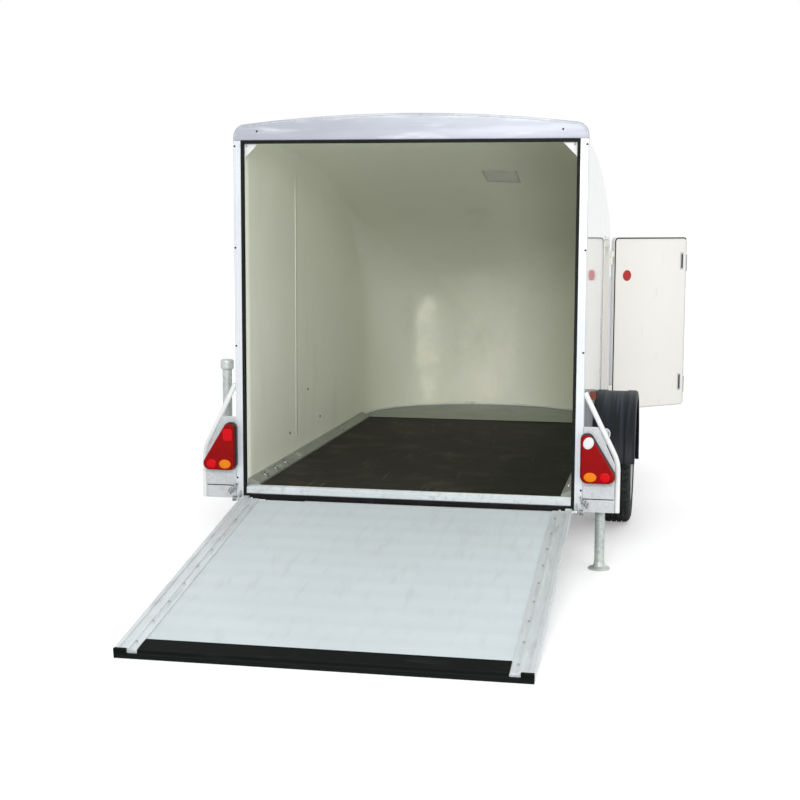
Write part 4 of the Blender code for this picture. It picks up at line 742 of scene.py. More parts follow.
def make_rear_frame():
    outline = header_outline()
    header = slab(outline, REAR, REAR + FRAME_DEPTH, 'XZ', 0.004, 3)
    make_piece("header_panel", header, HEADER, stands_for=["rear_header"])
    bead = np.insert(inset(outline, 0.0075)[2:], 1, REAR + 0.0008, axis=1)
    make_piece("header_bead", swept(bead, 0.0019, 8, ALONG), ZINC)
    for side, name in BOTH:
        post = slab(post_outline(), -0.050, OPENING_HEIGHT - GAP, 'XY', 0.0004, 1)
        make_piece(f"post_section_{name}", sided(post, side), FRAME_METAL,
                   stands_for=[f"rear_post_{name}"])
    marks = [(side * (HALF_FRAME - 0.0058), REAR, z) for side in (-1, 1) for z in POST_SCREWS]
    marks += [(side * 0.606, REAR, 1.4295) for side in (-1, 1)]
    make_piece("frame_screws", screw_heads(marks, BACKWARD, 0.0042, 0.0016), BLACK)
    corners = [(side * 0.652, -1.065, POST_SCREWS[0]) for side in (-1, 1)]
    make_piece("gusset_rivets", screw_heads(corners, BACKWARD, 0.004, 0.0016), BRIGHT)
    dress("corner_gusset_left corner_gusset_right", WHITE, 0.0004)
    dress("opening_seal", RUBBER, 0.0015)


def make_sill():
    """Drawn sill with three grooves along its top and one along its face, carried across."""
    half, depth = 0.6604, 0.045
    front = REAR + depth
    outline = [(REAR + 0.003, -0.030), (front, -0.030), (front, 0.0)]
    for back in (front - 0.012, front - 0.023, front - 0.034):
        outline += [(back, 0.0), (back - 0.0008, -0.0022), (back - 0.0052, -0.0022),
                    (back - 0.006, 0.0)]
    outline += [(REAR + 0.0025, 0.0), (REAR, -0.0025), (REAR, -0.012), (REAR + 0.001, -0.0128),
                (REAR + 0.001, -0.0162), (REAR, -0.017), (REAR, -0.027)]
    make_piece("sill_section", slab(outline, -half, half, 'YZ', 0.0004, 1), RAIL_METAL,
               stands_for=["rear_sill"])


# Inside: floor, nose, walls

RING_PLACES = (-0.88, -0.72, -0.56, 0.52)
RING_X = 0.6365


def inner_plan(offset, count):
    """Line beside the nose's inner face at the floor: the outer ellipse moved in along its normal."""
    turn = np.radians(np.linspace(0.0, 180.0, count))
    length = BODY_LENGTH - STRAIGHT_LENGTH
    place = np.stack([HALF_BODY * np.cos(turn), length * np.sin(turn)], 1)
    normal = np.stack([np.cos(turn) / HALF_BODY, np.sin(turn) / length], 1)
    normal /= np.linalg.norm(normal, axis=1)[:, None]
    return place - (WALL + offset) * normal + (0.0, REAR + STRAIGHT_LENGTH)


def make_inside():
    plan = inner_plan(0.0065, 61)[1:-1]
    edge = swept(np.insert(plan, 2, 0.0045, axis=1), 0.0052, 8)
    make_piece("nose_floor_edge", edge, FRAME_METAL)
    seam = block((-0.617, 1.104, -0.001), (0.617, 1.117, 0.0022), 0.0008)
    make_piece("floor_joint_strip", seam, RUBBER)
    rivets = [(x, 1.132, 0.0) for x in np.linspace(-0.56, 0.56, 9)]
    make_piece("floor_joint_rivets", screw_heads(rivets, UP, 0.005, 0.0016), BRIGHT)
    marks = [(-0.668, -0.0492, 0.2845), (-0.668, 0.183, 0.1249), (-0.668, -0.3771, 0.1199)]
    make_piece("wall_screws", screw_heads(marks, (1, 0, 0), 0.0075, 0.003), BLACK)
    # pale strip standing in for the bright edge of light on the glossy left wall: a painted highlight
    strip = block((-0.6685, -0.272, 0.095), (-0.6655, -0.251, 1.285), 0.001)
    make_piece("wall_painted_highlight_strip", strip, BLANK)
    eye = lathe([(0.0150 + 0.0036 * c, 0.0036 * s) for c, s in arc((0, 0), 1.0, 0, 330, 11)], 28, True)
    for side, name in BOTH:
        screws = [(side * 0.656, y, 0.0256) for y in np.arange(-0.98, 1.06, 0.25)]
        make_piece(f"floor_rail_screws_{name}", screw_heads(screws, UP, 0.0055, 0.002), BRIGHT)
        x = side * RING_X
        hooks = []
        for y in RING_PLACES:
            hooks.append(moved(eye, at(x, y, 0.0195) @ Matrix.Rotation(-side * 0.55, 4, 'Y')))
            hooks.append(block((x - 0.0045, y - 0.021, 0.014), (x + 0.0045, y + 0.021, 0.0215), 0.001))
        make_piece(f"lashing_rings_{name}", joined(*hooks), BRIGHT)
    dress("floor_rail_left floor_rail_right", WORN_METAL)
    dress("nose_floor_plate", WORN_METAL, 0)
    dress("load_floor", FLOORING, 0.0006)


def make_blank_plate():
    """Blank plate on the roof's inner face, where the photographed one is printed; its height is
    the roof's, less the wall's thickness measured upright: z - w sqrt(1 + slope^2)."""
    (x0, y0), (x1, y1) = (0.101, 0.298), (0.272, 0.505)
    share = np.linspace(0.0, 1.0, 9)
    u, v = np.meshgrid(share, share, indexing='ij')
    x, y = x0 + (x1 - x0) * u, y0 + (y1 - y0) * v
    station = y - REAR
    z = shoulder(station) + ROOF_CROWN * (1.0 - (x / (HALF_BODY - ROOF_EDGE)) ** 2)
    slope = (shoulder(station + 0.01) - shoulder(station - 0.01)) / 0.02
    z = z - (WALL + 0.001) * np.sqrt(1.0 + slope ** 2)
    points = np.stack([x, y, z], 2).reshape(-1, 3)
    piece = make_piece("blank_plate", (points, [grid_faces(9, 9)]), BLANK, outward=False)
    solid = piece.modifiers.new("thickness", 'SOLIDIFY')
    solid.thickness = 0.0012
    solid.offset = 1.0


# Chassis, axle and wheels

TREAD_GROOVES = (-0.036, -0.012, 0.012, 0.036)
TREAD_DEPTH = 0.0062
TREAD_STEPS = 360
HOLE_CIRCLE, NUT_CIRCLE = 0.115, 0.049
RAIL_X = 0.45
GUARD_INNER = 0.6903
PAD_FOOT = -0.1128


def tyre_form():
    """Closed profile turned round the axle, its radius lowered by four grooves round the tread, by
    notches along both shoulders and by shallow cuts across: r - d g(z, t), each g from 0 to 1."""
    half, inner, outer = TYRE_WIDTH / 2, RIM_RADIUS + GAP, TYRE_RADIUS
    side = [(inner, 0.0605), (inner + 0.011, 0.0715), (0.200, 0.0760), (0.204, 0.0774),
            (0.208, 0.0766), ((inner + outer) / 2, half), (0.240, 0.0760), (0.244, 0.0768),
            (0.248, 0.0745), (outer - 0.012, half * 0.90), (outer - 0.0022, half * 0.76),
            (outer, half * 0.55)]
    flat = [(outer, z) for z in np.linspace(half * 0.50, -half * 0.50, 33)]
    corners = side + flat + [(r, -z) for r, z in reversed(side)]
    profile = rounded_profile(corners, 0.003, 2)
    radius, height = profile.T[:, :, None]
    turn = np.linspace(0.0, 2 * math.pi, TREAD_STEPS, endpoint=False)[None]
    grooves = sum(np.clip(1.6 - abs(height - z) / 0.0022, 0.0, 1.0) for z in TREAD_GROOVES)
    pitch = (turn * 60 / (2 * math.pi) + 0.5 * (height > 0) + 6.0 * abs(height)) % 1.0
    notch = np.clip((abs(height) - 0.040) / 0.003, 0.0, 1.0) * (pitch < 0.34)
    sipe = (abs(height) < 0.034) * ((turn * 90 / (2 * math.pi) + 10.0 * height) % 1.0 < 0.2) * 0.45
    near = np.clip((radius - (outer - 0.016)) / 0.008, 0.0, 1.0)
    radius = radius - near * TREAD_DEPTH * np.maximum(grooves, np.maximum(notch, sipe))
    points = np.stack([radius * np.cos(turn), radius * np.sin(turn), height + 0.0 * turn], 2)
    return points.reshape(-1, 3), [grid_faces(len(profile), TREAD_STEPS, True, True)]


def rim_form():
    """Barrel, dished disc and hub, from the cap round to the bore."""
    out = [(0.0, 0.0555), (0.024, 0.0550), (0.029, 0.0520), (0.030, 0.028), (0.067, 0.028),
           (0.078, 0.033), (0.090, 0.0392), (0.100, 0.0392), (0.118, 0.036), (0.134, 0.032),
           (0.144, 0.034), (0.150, 0.055), (0.158, 0.0595), (0.166, 0.0690),
           (0.1745, 0.0735), (0.177, 0.0702)]
    seat = [(0.168, 0.0611), (0.160, 0.045), (0.158, 0.0), (0.160, -0.045), (0.168, -0.0611),
            (0.177, -0.0702)]
    back = [(0.173, -0.0742), (0.156, -0.0611), (0.152, -0.040), (0.152, 0.004), (0.144, 0.020),
            (0.134, 0.025), (0.095, 0.033), (0.067, 0.021), (0.045, 0.020), (0.045, -0.036),
            (0.0156, -0.036), (0.0156, 0.016), (0.0, 0.016)]
    return lathe(rounded_profile(out + seat + back, 0.0022, 3), 96)


def cut_holes(piece, holes):
    """Take round holes out of a piece's mesh."""
    tool = bpy.data.objects.new("holes", mesh_of("holes", holes))
    bpy.context.scene.collection.objects.link(tool)
    step = piece.modifiers.new("holes", 'BOOLEAN')
    step.operation = 'DIFFERENCE'
    step.solver = 'EXACT'
    step.object = tool
    bpy.context.view_layer.update()
    graph = bpy.context.evaluated_depsgraph_get()
    cut = bpy.data.meshes.new_from_object(piece.evaluated_get(graph))
    piece.modifiers.remove(step)
    piece.data = cut
    bpy.data.objects.remove(tool, do_unlink=True)


def on_wheel(side):
    """Matrix from a form turned about Z to a wheel whose outer face looks outward."""
    return at(side * WHEEL_X, 0.0, WHEEL_Z) @ Matrix.Rotation(side * math.pi / 2, 4, 'Y')


def make_wheel(side, name):
    body = f"wheel_{name}"
    stand = on_wheel(side)
    make_piece(f"tyre_tread_{name}", moved(tyre_form(), stand), TYRE, body,
               [f"tyre_{name}"], 28.0)
    rim = make_piece(f"rim_pressing_{name}", moved(rim_form(), stand), RIM, body,
                     [f"wheel_rim_{name}"], 45.0)
    drill = lathe([(0.0, 0.08), (0.013, 0.08), (0.013, 0.005), (0.0, 0.005)], 24)
    turns = np.radians(22.5 + 45.0 * np.arange(8))
    places = [(HOLE_CIRCLE * math.cos(a), HOLE_CIRCLE * math.sin(a), 0.0) for a in turns]
    cut_holes(rim, joined(*(moved(drill, stand @ at(*place)) for place in places)))
    rim.data.set_sharp_from_angle(angle=math.radians(45.0))
    turns = np.radians(45 + 90.0 * np.arange(4))
    places = [(NUT_CIRCLE * math.cos(a), NUT_CIRCLE * math.sin(a), 0.028) for a in turns]
    nuts = bolt_heads(places, UP, 0.0085, 0.010)
    valve = swept([(0.147, 0.0, 0.036), (0.1465, 0.0, 0.048), (0.1455, 0.0, 0.062)], 0.0034, 12, ALONG)
    make_piece(f"wheel_nuts_{name}", moved(nuts, stand), BRIGHT, body)
    make_piece(f"tyre_valve_{name}", moved(valve, stand), BLACK, body)


def guard_form():
    """Channel section carried round the wheel: closed loop of (x, r) points turned about the axle,
    (x, r cos t, r sin t), with a rib along each edge and a shallow step in the middle."""
    inner, outer, radius = GUARD_INNER, 0.8793, 0.3345
    lip, dip, thickness = 0.030, 0.0035, 0.0035
    path = [(inner, radius - lip), (inner, radius - 0.006), (inner + 0.006, radius),
            (inner + 0.050, radius), (inner + 0.054, radius - dip), (outer - 0.048, radius - dip),
            (outer - 0.044, radius), (outer - 0.012, radius), (outer - dip, radius - dip),
            (outer, radius - 0.012), (outer, radius - lip)]
    skin = rounded_profile(path, 0.004, 4)
    ahead = np.gradient(skin, axis=0)
    normal = np.stack([ahead[:, 1], -ahead[:, 0]], 1) / np.linalg.norm(ahead, axis=1)[:, None]
    loop = np.concatenate([skin, (skin + thickness * normal)[::-1]])
    rows, count = 90, len(loop)
    turn = np.radians(np.linspace(-6.0, 172.0, rows))[:, None]
    x, reach = loop.T
    points = np.stack([x + 0 * turn, reach * np.cos(turn), reach * np.sin(turn) + WHEEL_Z], 2)
    ends = np.arange(count)[None]
    faces = [grid_faces(rows, count, False, True), ends[:, ::-1], ends + (rows - 1) * count]
    return points.reshape(-1, 3), faces


def round_axle(x, radius, turns):
    """Places round the axle: (x, r cos t, r sin t)."""
    return [(x, radius * math.cos(a), radius * math.sin(a) + WHEEL_Z) for a in turns]


def make_running_gear():
    for side, name in BOTH:
        make_wheel(side, name)
        make_piece(f"mudguard_arch_{name}", sided(guard_form(), side), GUARD,
                   stands_for=[f"mudguard_{name}"], sharp=40.0)
        places = round_axle(side * GUARD_INNER, 0.315, (0.2, 0.9, 1.57, 2.3, 2.85))
        heads = bolt_heads(places, (side, 0, 0), 0.006, 0.004)
        make_piece(f"guard_bolts_{name}", heads, BRIGHT)
        places = round_axle(side * 0.8785, 0.3078, (0.35, 1.57, 2.6))
        clips = screw_heads(places, (side, 0, 0), 0.005, 0.0008)
        make_piece(f"guard_clips_{name}", clips, BLACK)
        pivot = bolt_heads([(side * 0.7126, 0.085, -0.0836)], (side, 0, 0), 0.011, 0.008)
        make_piece(f"arm_bolt_{name}", pivot, BRIGHT)
    feet = [(side * RAIL_X, y + shift, -0.0586)
            for side in (-1, 1) for y in (-0.98, 1.02) for shift in (-0.012, 0.012)]
    make_piece("chassis_bolts", bolt_heads(feet, DOWN, 0.006, 0.005), BRIGHT)
    plates = [block((x - 0.04, 0.048, PAD_FOOT), (x + 0.04, 0.122, -0.1087), 0.001)
              for x in (-RAIL_X, RAIL_X)]
    make_piece("axle_pads", joined(*plates), ZINC)
    nuts = [(side * RAIL_X + x, y, PAD_FOOT)
            for side in (-1, 1) for x in (-0.028, 0.028) for y in (0.054, 0.116)]
    make_piece("axle_bolts", bolt_heads(nuts, DOWN, 0.0055, 0.005), BRIGHT)
    dress("chassis_rail_left chassis_rail_right rear_cross_member front_cross_member axle_beam "
          "swing_arm_left swing_arm_right", ZINC, 0.0015)


# Drawbar, coupling and jockey wheel

COUPLING = (0.0, 2.760, 0.1025)
JOCKEY = (-0.2, 2.25)
JOCKEY_WHEEL = (-0.2, 2.22, -0.2175)
LEG_LOW, LEG_HIGH = -0.0846, 0.0925
LEG_HEAD = 0.0613
STRAP = 0.0305


def make_drawbar():
    for side, name in BOTH:
        corners = [(side * 0.450, 0.150, LEG_LOW), (side * 0.430, 1.020, LEG_LOW),
                   (side * 0.200, 1.880, LEG_LOW), (side * LEG_HEAD, 2.420, LEG_HIGH),
                   (side * LEG_HEAD, 2.580, LEG_HIGH)]
        tube = swept(rounded_profile(corners, 0.06, 10), 0.026, 32)
        make_piece(f"drawbar_tube_{name}", tube, ZINC, stands_for=[f"drawbar_{name}"])
        straps = []
        for y, x in ((1.020, 0.430), (0.300, 0.4465)):
            turn = np.linspace(0.0, math.pi, 15)
            hoop = np.stack([x + STRAP * np.cos(turn), y + 0 * turn, LEG_LOW - STRAP * np.sin(turn)], 1)
            hoop = np.concatenate([[(x + STRAP, y, -0.060)], hoop, [(x - STRAP, y, -0.060)]])
            straps.append(swept(hoop, 0.0042, 10, ALONG))
        make_piece(f"drawbar_straps_{name}", sided(joined(*straps), side), BRIGHT)
        places = [(side * 0.0868, y, LEG_HIGH) for y in (2.490, 2.550)]
        heads = bolt_heads(places, (side, 0, 0), 0.0085, 0.008)
        make_piece(f"coupling_bolts_{name}", heads, BRIGHT)
    dress("coupling_head", ZINC, 0.0018)
    pivot = np.array(COUPLING) + (0.0, -0.048, 0.010)
    grip = [pivot + (0.0, -0.060 - 0.090 * t, 0.0536 + 0.0164 * t) for t in np.linspace(0.0, 1.0, 10)]
    width = 0.0112 + 0.0006 * np.cos(np.linspace(0.0, 8 * math.pi, 10))
    make_piece("coupling_grip", swept(grip, width[:, None, None], 18), BLACK)


def make_jockey():
    x, y = JOCKEY
    foot, top = 0.0025, 0.3625
    sleeve = lathe([(0.0, top), (0.0225, top), (0.024, top - 0.0015), (0.024, foot + 0.001),
                    (0.0235, foot), (0.0196, foot), (0.0196, top - 0.004), (0.0, top - 0.004)], 40)
    collar = lathe([(0.0235, foot + 0.030), (0.0262, foot + 0.028), (0.0262, foot + 0.004),
                    (0.0235, foot + 0.002)], 40, True)
    lid = lathe([(0.0, top + 0.008), (0.010, top + 0.008), (0.022, top + 0.0015), (0.0255, top),
                 (0.0255, top - 0.014), (0.0235, top - 0.014)], 40)
    tube = moved(joined(sleeve, collar, lid), at(x, y, 0.0))
    arm, rise = y - 0.110, top + 0.030
    bends = [(x, y, top - 0.002), (x, y, rise), (x, arm, rise), (x, arm, rise + 0.008)]
    crank = swept(rounded_profile(bends, 0.012, 8), 0.0065, 16, ACROSS)
    jaw = block((x + 0.018, y - 0.025, 0.0117), (-0.105, y + 0.025, 0.0617), 0.003)
    bolt = swept([(x + 0.040, y + 0.024, 0.0367), (x + 0.040, y + 0.060, 0.0367)], 0.005, 12)
    lever = swept([(x + 0.040, y + 0.058, 0.006), (x + 0.040, y + 0.058, 0.067)], 0.0042, 12, ACROSS)
    make_piece("jockey_sleeve", joined(tube, crank, jaw, bolt, lever), ZINC,
               stands_for=["jockey_tube"])
    handle = lathe([(0.0, 0.4375), (0.008, 0.4375), (0.0105, 0.434), (0.0112, 0.415),
                    (0.0098, 0.400), (0.0, 0.400)], 28)
    make_piece("crank_handle", moved(handle, at(x, arm, 0.0)), BLACK)
    leg = lathe([(0.0, 0.1525), (0.0185, 0.1525), (0.019, 0.152), (0.019, -0.1228),
                 (0.0186, -0.1232), (0.0, -0.1232)], 40)
    make_piece("jockey_leg_tube", moved(leg, at(x, y, 0.0)), ZINC, "jockey_leg",
               ["jockey_inner_tube"])
    dress("jockey_fork", ZINC, 0.0008)
    side = [(0.0076, 0.0225), (0.021, 0.0225), (0.026, 0.0145), (0.060, 0.0145), (0.064, 0.021),
            (0.0755, 0.0222), (0.0795, 0.0175), (0.080, 0.0)]
    corners = side + [(r, -z) for r, z in reversed(side[:-1])]
    wheel = lathe(rounded_profile(corners, 0.002, 3), 72, True)
    stand = at(*JOCKEY_WHEEL) @ Matrix.Rotation(math.pi / 2, 4, 'Y')
    make_piece("castor_wheel", moved(wheel, stand), RUBBER, "jockey_wheel",
               ["jockey_wheel"])


# Stands, brackets, braces and lamps

STAND_PLACE = (0.770, -0.980)
STAND_TRAVEL = 0.2465
LAMP_INNER = HALF_FRAME - 0.009
BRACE_X = 0.840


def make_stands():
    profile = [(0.0, 0.562), (0.020, 0.562), (0.0268, 0.5575), (0.0275, 0.550), (0.0275, 0.530),
               (0.0262, 0.523), (0.0195, 0.518), (0.0195, 0.034), (0.0215, 0.022), (0.0255, 0.0125),
               (0.038, 0.0085), (0.0435, 0.0065), (0.044, 0.0035), (0.0425, 0.0), (0.0, 0.0)]
    form = lathe(rounded_profile(profile, 0.003, 4), 48)
    for side, name in BOTH:
        lift = 0.0 if side > 0 else STAND_TRAVEL
        leg = moved(form, at(side * STAND_PLACE[0], STAND_PLACE[1], GROUND + lift))
        make_piece(f"stand_leg_{name}", leg, ZINC, f"stand_{name}", [f"prop_stand_{name}"])
    dress("stand_clamp_left stand_clamp_right", ZINC, 0.0012)


def brace_path(side):
    y = REAR + 0.0125
    corners = [(side * 0.7085, y, 0.419), (side * BRACE_X, y, 0.151), (side * BRACE_X, y, -0.050)]
    return rounded_profile(corners, 0.035, 10)


def lamp_outline(margin):
    """Right lamp seen from behind: upright inner side, slanted outer side, rounded corners."""
    x0, foot, head = LAMP_INNER + margin, 0.030 - margin, 0.0235 - margin
    low, high = 0.068 + margin, 0.264 - margin
    wide, narrow = 0.1375 - 2 * margin, 0.052 - 2 * margin
    lean = math.degrees(math.atan2(wide - narrow - foot + head, high - low - foot - head))
    return np.concatenate([arc((x0 + foot, low + foot), foot, 180, 270, 10),
                           arc((x0 + wide - foot, low + foot), foot, -90, lean, 12),
                           arc((x0 + narrow - head, high - head), head, lean, 90, 8),
                           arc((x0 + head, high - head), head, 90, 180, 8)])


def lens_dome(place, wide, high, rise, tilt=0.0):
    """Low oval dome on a lamp's face: h = rise sqrt(1 - r^2), stretched and tilted."""
    turn = np.radians(np.linspace(90.0, 0.0, 10))
    curve = np.stack([np.cos(turn), rise * np.sin(turn)], 1)
    profile = np.concatenate([curve, [[1.0, -0.003], [0.0, -0.003]]])
    shape = Matrix.Rotation(tilt, 4, 'Z') @ Matrix.Diagonal((wide, high, 1.0, 1.0))
    return moved(lathe(profile, 40), facing(BACKWARD, place) @ shape)


def make_lamp(side, name):
    back = REAR - GAP
    front = back - 0.030 - GAP
    face = front - 0.020
    skin = face + GAP
    housing = slab(lamp_outline(0.0), back - 0.030, back, 'XZ', 0.0055, 4)
    make_piece(f"lamp_body_{name}", sided(housing, side), BLACK,
               stands_for=[f"tail_lamp_housing_{name}"])
    lens = slab(lamp_outline(0.0025), face, front, 'XZ', 0.010, 6)
    make_piece(f"lamp_lens_{name}", sided(lens, side), RED,
               stands_for=[f"tail_lamp_lens_{name}"])
    amber = lens_dome((LAMP_INNER + 0.041, skin, 0.097), 0.0245, 0.0185, 0.0045)
    make_piece(f"lamp_amber_{name}", sided(amber, side), AMBER)
    round_lens = lens_dome((LAMP_INNER + 0.098, skin, 0.098), 0.0195, 0.0185, 0.0042)
    make_piece(f"lamp_reflector_{name}", sided(round_lens, side), BRIGHT_RED)
    if side > 0:
        clear = lens_dome((LAMP_INNER + 0.0325, skin, 0.230), 0.0200, 0.0240, 0.0048, -0.4)
        make_piece("lamp_clear_right", clear, CLEAR)
    else:
        outline = rounded_rectangle((LAMP_INNER + 0.009, 0.192), (LAMP_INNER + 0.049, 0.242), 0.012)
        square = slab(outline, face - 0.0025, face + 0.002, 'XZ', 0.0022, 3)
        make_piece("lamp_square_left", mirrored(square), BRIGHT_RED)
    dress(f"lamp_bracket_{name}", PALE_ZINC, 0.0012)
    make_piece(f"brace_tube_{name}", swept(brace_path(side), 0.010, 24, ALONG), WHITE,
               stands_for=[f"lamp_brace_{name}"])
    middle, reach = side * 0.767, 0.060
    seam = block((middle - reach, REAR - 0.0022, 0.0005), (middle + reach, REAR + 0.001, 0.0038), 0.0007)
    make_piece(f"bracket_seam_{name}", seam, BLACK)


def make_small_marks():
    """Wire hook and rusty tab on the right brace."""
    turn = np.linspace(-1.9, 1.9, 17)
    ring = np.stack([0.793 + 0.0175 * np.cos(turn) * 0.8, REAR + 0.001 + 0 * turn,
                     0.262 + 0.0195 * np.sin(turn)], 1)
    make_piece("brace_wire", swept(ring, 0.0017, 10, ALONG), WHITE)
    tab = slab(rounded_rectangle((0.7243, 0.392), (0.7493, 0.424), 0.006), -1.061, -1.056, 'XZ', 0.001)
    bolt = bolt_heads([(0.737, -1.061, 0.408)], BACKWARD, 0.005, 0.004)
    make_piece("brace_tab", joined(tab, bolt), RUST)


# Ramp and its hinges

RAMP_PLACE = at(*RAMP_AXIS) @ Matrix.Rotation(math.radians(RAMP_SLOPE), 4, 'X')


def coil(side, start, end, radius, half_turns, count):
    """Line that winds round from one (x, y, z) to another: y + r cos t and z + r sin t."""
    turn = np.linspace(0.0, half_turns * math.pi, count)[:, None]
    middle = start + (np.array(end) - start) * (turn / turn[-1])
    line = middle + radius * np.concatenate([0 * turn, np.cos(turn), np.sin(turn)], 1)
    return line * (side, 1.0, 1.0)


def make_ramp():
    dress("ramp_deck", DECK, 0.0008)
    dress("ramp_rail_left ramp_rail_right", RAIL_METAL, 0.0006)
    dress("ramp_flap", FLAP, 0.0008)
    screws = [(side * 0.612, -d, 0.0178) for side in (-1, 1) for d in np.arange(0.12, 1.36, 0.155)]
    heads = moved(screw_heads(screws, UP, 0.0042, 0.0014), RAMP_PLACE)
    make_piece("rail_screws", heads, BRIGHT, "ramp")
    _, hinge_y, hinge_z = RAMP_AXIS
    end = lathe([(0.0, 0.0035), (0.0075, 0.0035), (0.0095, 0.0022), (0.0095, 0.0), (0.0, 0.0)], 24)
    for side, name in BOTH:
        x = side * 0.6505
        cap = block((x - 0.0165, -1.4128, -0.0136), (x + 0.0165, -1.4095, 0.0182), 0.0008)
        make_piece(f"rail_end_{name}", moved(cap, RAMP_PLACE), RAIL_METAL, "ramp")
        place = at(side * 0.687, hinge_y, hinge_z) @ Matrix.Rotation(side * math.pi / 2, 4, 'Y')
        make_piece(f"hinge_pin_{name}", moved(end, place), BRIGHT, "ramp")
        spring = coil(side, (0.6955, hinge_y, hinge_z), (0.7115, hinge_y, hinge_z), 0.0098, 10, 150)
        make_piece(f"hinge_spring_{name}", swept(spring, 0.0013, 8, ACROSS), BRIGHT)
        spring = coil(side, (0.697, -1.0975, 0.004), (0.731, -1.0975, -0.026), 0.0115, 7, 110)
        make_piece(f"ramp_spring_{name}", swept(spring, 0.0021, 10, ACROSS), BRIGHT)
    dress("ramp_hinge_left ramp_hinge_right", ZINC, 0.0006)


# Side door

DOOR_PLACE = at(*DOOR_AXIS) @ Matrix.Rotation(math.radians(DOOR_OPEN), 4, 'Z')
LEAF_LOW, LEAF_HIGH = (-0.5146, 0.108), (-0.020, 0.999)
LEAF_JOINT, LEAF_DEPTH = 0.014, 0.026
KNUCKLES = (0.208, 0.899)
LATCHES = (0.233, 0.874)


def on_door(name, form, finish, stands_for=()):
    """Piece of the open door, from a form in the leaf's own frame: x out of it, z up."""
    make_piece(name, moved(form, DOOR_PLACE), finish, "side_door", stands_for)


def make_side_door():
    outline = rounded_rectangle(LEAF_LOW, LEAF_HIGH, 0.022, 10)
    on_door("door_outer_skin", slab(outline, LEAF_JOINT, LEAF_DEPTH, 'YZ', 0.0015), OUTSIDE)
    leaf = [slab(outline, 0.0, LEAF_JOINT, 'YZ', 0.0015)]
    for height in KNUCKLES:
        foot, top = height + GAP, height + 0.030
        leaf.append(lathe([(0.0, foot), (0.006, foot), (0.006, top), (0.0, top)], 20))
        leaf.append(block((GAP, -0.060, foot), (0.0035, -0.004, top), 0.0006))
    on_door("door_panel", joined(*leaf), DOOR_WHITE, stands_for=["side_door_leaf"])
    label = slab(arc((-0.106, 0.803), 0.028, 0, 360 - 9, 39), -0.0006, 0.0004, 'YZ', 0.0002, 1)
    on_door("round_label", label, RED_BLANK)
    ring = inset(outline, 0.0044)
    near = ring[(ring[:, 0] > -0.032) | (ring[:, 1] > 0.985)]
    strip = swept(np.insert(near, 0, -0.0008, axis=1), 0.0031, 10, ACROSS)
    on_door("door_gasket", strip, RUBBER, ["side_door_seal"])
    far = np.roll(ring, -22, axis=0)
    far = far[(far[:, 0] < -0.040) & (far[:, 1] < 0.978)]
    strip = swept(np.insert(far, 0, -0.0006, axis=1), 0.0015, 10, ACROSS)
    on_door("door_edge_trim", strip, PALE_ZINC)
    plates = [block((-0.0022, -0.4926, z - 0.045), (0.0004, -0.4706, z + 0.045), 0.0008)
              for z in LATCHES]
    slots = [block((-0.0030, -0.4866, z - 0.037), (-0.0016, -0.4766, z + 0.037), 0.0004)
             for z in LATCHES]
    on_door("latch_plates", joined(*plates), PALE_ZINC)
    on_door("latch_slots", joined(*slots), BLACK)
    dress("side_door_frame", DOOR_WHITE, 0.0006)
    dress("side_door_latch_lower side_door_latch_upper", BLACK, 0.0012)
    keyholes = [(LEAF_DEPTH + 0.0035, LEAF_LOW[0] + 0.010, z) for z in (0.219, 0.863)]
    barrel = lathe([(0.0, 0.003), (0.006, 0.003), (0.0075, 0.0018), (0.0075, 0.0), (0.0, 0.0)], 24)
    on_door("door_locks", repeated(barrel, keyholes, (1, 0, 0)), BRIGHT)


make_rear_frame()
make_sill()
make_inside()
make_blank_plate()
make_running_gear()
make_drawbar()
make_jockey()
make_stands()
for side, name in BOTH:
    make_lamp(side, name)
make_small_marks()
make_ramp()
make_side_door()


# Camera, floor and light

def make_camera():
    data = bpy.data.cameras.new("camera")
    data.sensor_width = SENSOR
    data.lens = data.sensor_width * FOCAL_PIXELS / FRAME_PIXELS
    camera = bpy.data.objects.new("camera", data)
    bpy.context.scene.collection.objects.link(camera)
    camera.matrix_world = (Matrix.Translation(CAMERA_PLACE)
                           @ Matrix.Rotation(CAMERA_YAW, 4, 'Z')
                           @ Matrix.Rotation(math.pi / 2 + CAMERA_PITCH, 4, 'X')
                           @ Matrix.Rotation(CAMERA_ROLL, 4, 'Z'))
    bpy.context.scene.camera = camera


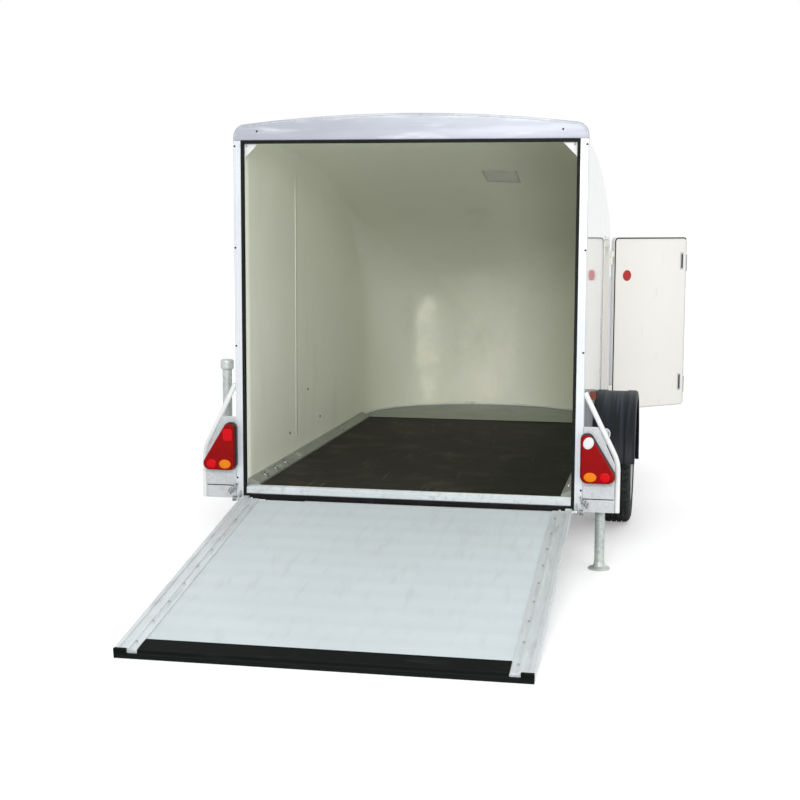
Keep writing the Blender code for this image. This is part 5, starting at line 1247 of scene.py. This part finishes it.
def make_floor():
    """White floor that looks a little brighter to the camera than to the part."""
    bpy.ops.mesh.primitive_plane_add(size=60.0, location=(0.0, 0.0, GROUND - 0.0005))
    floor = bpy.context.object
    floor.name = "studio_floor"
    f = Finish("studio_floor")
    rays = f.node("ShaderNodeLightPath", output="Is Camera Ray")
    lift = f.mix((0.0, 0.0, 0.0, 1.0), (0.3, 0.3, 0.3, 1.0), rays)
    material = f.surface((250, 250, 250), 0.9, Emission_Color=lift, Emission_Strength=1.0)
    floor.data.materials.append(material)


def area_light(name, place, target, size, power, spread=180.0):
    """Rectangular lamp aimed at a target; a narrow one doesn't show in glossy surfaces."""
    data = bpy.data.lights.new(name, 'AREA')
    data.shape = 'RECTANGLE'
    data.spread = math.radians(spread)
    data.size, data.size_y = size
    data.energy = power
    light = bpy.data.objects.new(name, data)
    bpy.context.scene.collection.objects.link(light)
    light.location = place
    light.rotation_mode = 'QUATERNION'
    light.rotation_quaternion = (Vector(target) - Vector(place)).to_track_quat('-Z', 'Y')
    light.visible_glossy = spread > 90.0


WORLD_LEVEL = 0.78


def make_light():
    """Even white world, white to the camera and in mirrors; a key and a fill from behind the
    trailer; and two narrow beams for the patches of daylight on the front wall."""
    world = bpy.data.worlds.new("studio")
    bpy.context.scene.world = world
    world.use_nodes = True
    tree = world.node_tree
    background = tree.nodes["Background"]
    background.inputs["Color"].default_value = (1.0, 1.0, 1.0, 1.0)
    rays = tree.nodes.new("ShaderNodeLightPath").outputs
    kinds = ("Is Camera Ray", "Is Glossy Ray", "Is Transmission Ray")
    seen, glossy, through = (Varying(tree, rays[kind]) for kind in kinds)
    white = seen.work('MAXIMUM', seen.work('MAXIMUM', seen, glossy), through)
    plug(tree, background.inputs["Strength"], white * (1.0 - WORLD_LEVEL) + WORLD_LEVEL)
    area_light("key", (0.7, -7.6, 2.75), (0.0, 1.2, 0.6), (1.5, 1.0), 168.0)
    area_light("fill", (3.4, -4.6, 1.3), (1.1, 0.9, 0.3), (1.2, 1.0), 26.0)
    area_light("window_narrow", (0.55, -7.4, 1.25), (-0.385, 1.60, 0.33), (0.08, 0.60), 0.10, 1.0)
    area_light("window_wide", (0.35, -7.4, 1.25), (-0.06, 1.62, 0.42), (0.34, 0.72), 0.08, 1.0)
    bpy.context.scene.view_settings.view_transform = 'Standard'


make_camera()
make_floor()
make_light()
